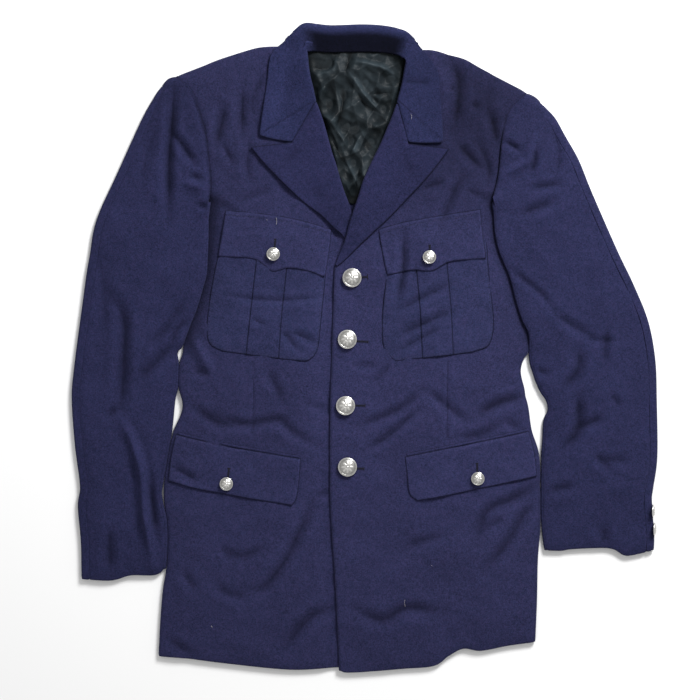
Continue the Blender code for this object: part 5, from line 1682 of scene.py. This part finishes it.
# Grains along lines: each is an ellipsoid between two points, of one radius.
def makeGrains(name, grains, finish, around=6):
    turn = np.arange(around) * 2 * math.pi / around
    points, faces = [], []
    for first, last, radius in grains:
        first, last = np.asarray(first, float), np.asarray(last, float)
        way = (last - first) / 2
        beside = unit(np.cross(way, [0, 0, 1]))
        up = np.cross(beside, unit(way))
        start = len(points)
        points.append(first)
        for lean in np.radians([-45, 0, 45]):
            centre = (first + last) / 2 + way * math.sin(lean)
            reach = radius * math.cos(lean)
            points.extend(centre + reach * (beside * math.cos(t) + up * math.sin(t)) for t in turn)
        points.append(last)
        for k in range(around):
            a, b = k, (k + 1) % around
            faces.append([start, start + 1 + a, start + 1 + b])
            for ring in (0, around):
                low = start + 1 + ring
                faces.append([low + a, low + around + a, low + around + b, low + b])
            top = start + 1 + 2 * around
            faces.append([top + a, start + 1 + 3 * around, top + b])
    addMesh(name, points, faces, np.ones(len(points)), finish)


# Stitches of a row along a line on a piece, each a little out of line and of uneven length.
def stitchRow(bed, line, seed):
    rng = np.random.default_rng(seed)
    length = runOf(line)[-1]
    count = int(length / stitching["pitch"])
    starts = (np.arange(count) + rng.uniform(-0.08, 0.08, count)) * stitching["pitch"]
    sizes = stitching["length"] * rng.uniform(0.82, 1.12, count)
    ends = along(line, np.concatenate([starts, starts + sizes]) / length)
    ends += rng.normal(0, stitching["wander"], ends.shape)
    made = []
    for first, last in zip(ends[:count], ends[count:]):
        z1, z2 = surfaceAt(bed, *first), surfaceAt(bed, *last)
        made.append(((*first, z1), (*last, z2), stitching["radius"] * rng.uniform(0.85, 1.15)))
    return made


# Rows of stitches inside the pockets' free edges and below the flaps' top edges.
def makeStitching():
    for side in sides:
        shape = breastPocket[side]
        outline = np.vstack([curve(shape["left"], 120), curve(shape["bottom"], 120)[1:-1],
                             curve(shape["right"], 120)[::-1]])
        outline = outline + sideways(outline) * -stitching["pocketInset"]
        grains = stitchRow(f"breast_pocket_{side}_cloth", outline, 71)
        makeGrains(f"pocket_stitches_{side}_thread", grains, thread)
        for number, kind in enumerate(flapShape):
            line = curve(flapShape[kind]["outline"][side]["top"], 120)[3:-3]
            line = line + sideways(line) * stitching["flapInset"][kind]
            grains = stitchRow(f"{kind}_flap_{side}_cloth", line, 73 + number)
            makeGrains(f"{kind}_flap_stitches_{side}_thread", grains, thread)


# A worked buttonhole: a slit of near-black thread, painted shade in the cut, a row of wrapping stitches on
# both sides, and a bar across its end in the same dark thread.
def makeHole(label, bed, start, end, bar):
    rng = np.random.default_rng(len(label) + 80)
    start, end = np.array(start, float), np.array(end, float)
    length = float(np.linalg.norm(end - start))
    way = (end - start) / length
    beside = np.array([way[1], -way[0]])

    # a place on the cloth, along the hole, beside it and over the cloth
    def at(run, off, lift):
        x, y = start + way * run + beside * off
        return (x, y, surfaceAt(bed, x, y) + lift)

    slit = [(at(k, 0, 0.1), at(min(k + 4.5, length), 0, 0.1), 0.42) for k in np.arange(0, length - 1, 3.2)]
    slit += [(at(length - 0.2, -bar / 2, 0.2), at(length - 0.2, bar / 2, 0.2), 0.42)]
    makeGrains(f"buttonhole_{label}_slit", slit, slitShadeAndBarThread)
    wraps = []
    for run in np.arange(0.4, length, 0.72):
        for sign in (-1, 1):
            lean = rng.uniform(-0.15, 0.15)
            radius = 0.33 * rng.uniform(0.85, 1.15)
            wraps.append((at(run, 0.3 * sign, 0.08), at(run + lean, 1.5 * sign, 0.02), radius))
    for off in np.linspace(-bar / 2, bar / 2, max(3, int(bar / 0.8))):
        wraps.append((at(length - 0.5, off, 0.15), at(length + 0.8, off, 0.05), 0.3))
    makeGrains(f"buttonhole_{label}_thread", wraps, holeThread)


# A few fibres of lint lie just over the cloth.
def makeLint():
    grains = []
    beds = ["front_right_cloth", "front_left_cloth", "breast_flap_right_cloth", "collar_cloth"]
    for points, radius in lint:
        line = curve(points, 5)
        places = [(x, y, topAt(x, y, beds, 3.0) + 0.25) for x, y in line]
        grains += [(a, b, radius) for a, b in zip(places, places[1:])]
    makeGrains("lint_fibres", grains, lintLook, 5)


holeThread = threadFinish("buttonhole thread", (0.009, 0.010, 0.026), (0.013, 0.011, 0.026), specular=0.3)
lintLook = threadFinish("lint", (0.32, 0.31, 0.36), (0.4, 0.36, 0.4))
makeStitching()
for label, values in holes.items():
    makeHole(label, *values)
makeLint()
print("stitches, buttonholes and lint made")


# A plain pale floor, one soft lamp, a white room and the photo's camera.
floorMesh = bpy.data.meshes.new("floor")
floorMesh.from_pydata([(x, y, -0.0004) for x, y in ((-4, -4), (4, -4), (4, 4), (-4, 4))], [], [(0, 1, 2, 3)])
floor = bpy.data.objects.new("floor", floorMesh)
bpy.context.scene.collection.objects.link(floor)
floorLook = bpy.data.materials.new("floor")
floorLook.use_nodes = True
floorShader = floorLook.node_tree.nodes["Principled BSDF"]
floorShader.inputs["Base Color"].default_value = (0.93, 0.93, 0.93, 1)
floorShader.inputs["Roughness"].default_value = 0.9
floorShader.inputs["Specular IOR Level"].default_value = 0.0
floorMesh.materials.append(floorLook)

keyLamp = {"place": (0.8, 1.35, 1.15), "size": 0.6, "watts": 52.0}   # it points at the origin
lamp = bpy.data.lights.new("key", "AREA")
lamp.shape = "SQUARE"
lamp.size = keyLamp["size"]
lamp.energy = keyLamp["watts"]
light = bpy.data.objects.new("key", lamp)
light.location = keyLamp["place"]
way = -np.array(keyLamp["place"])
light.rotation_euler = (math.atan2(math.hypot(way[0], way[1]), -way[2]), 0, math.atan2(-way[0], way[1]))
bpy.context.scene.collection.objects.link(light)
world = bpy.data.worlds.new("studio")
world.use_nodes = True
world.node_tree.nodes["Background"].inputs["Color"].default_value = (1, 1, 1, 1)
world.node_tree.nodes["Background"].inputs["Strength"].default_value = 0.56
bpy.context.scene.world = world
bpy.context.scene.view_settings.view_transform = "Standard"

photoCamera = {"place": (-0.0174, -0.0027, 1.98), "lens": 85.0, "sensor": 36.0}
cameraData = bpy.data.cameras.new("camera")
cameraData.lens = photoCamera["lens"]
cameraData.sensor_width = photoCamera["sensor"]
camera = bpy.data.objects.new("camera", cameraData)
camera.location = photoCamera["place"]
bpy.context.scene.collection.objects.link(camera)
bpy.context.scene.camera = camera
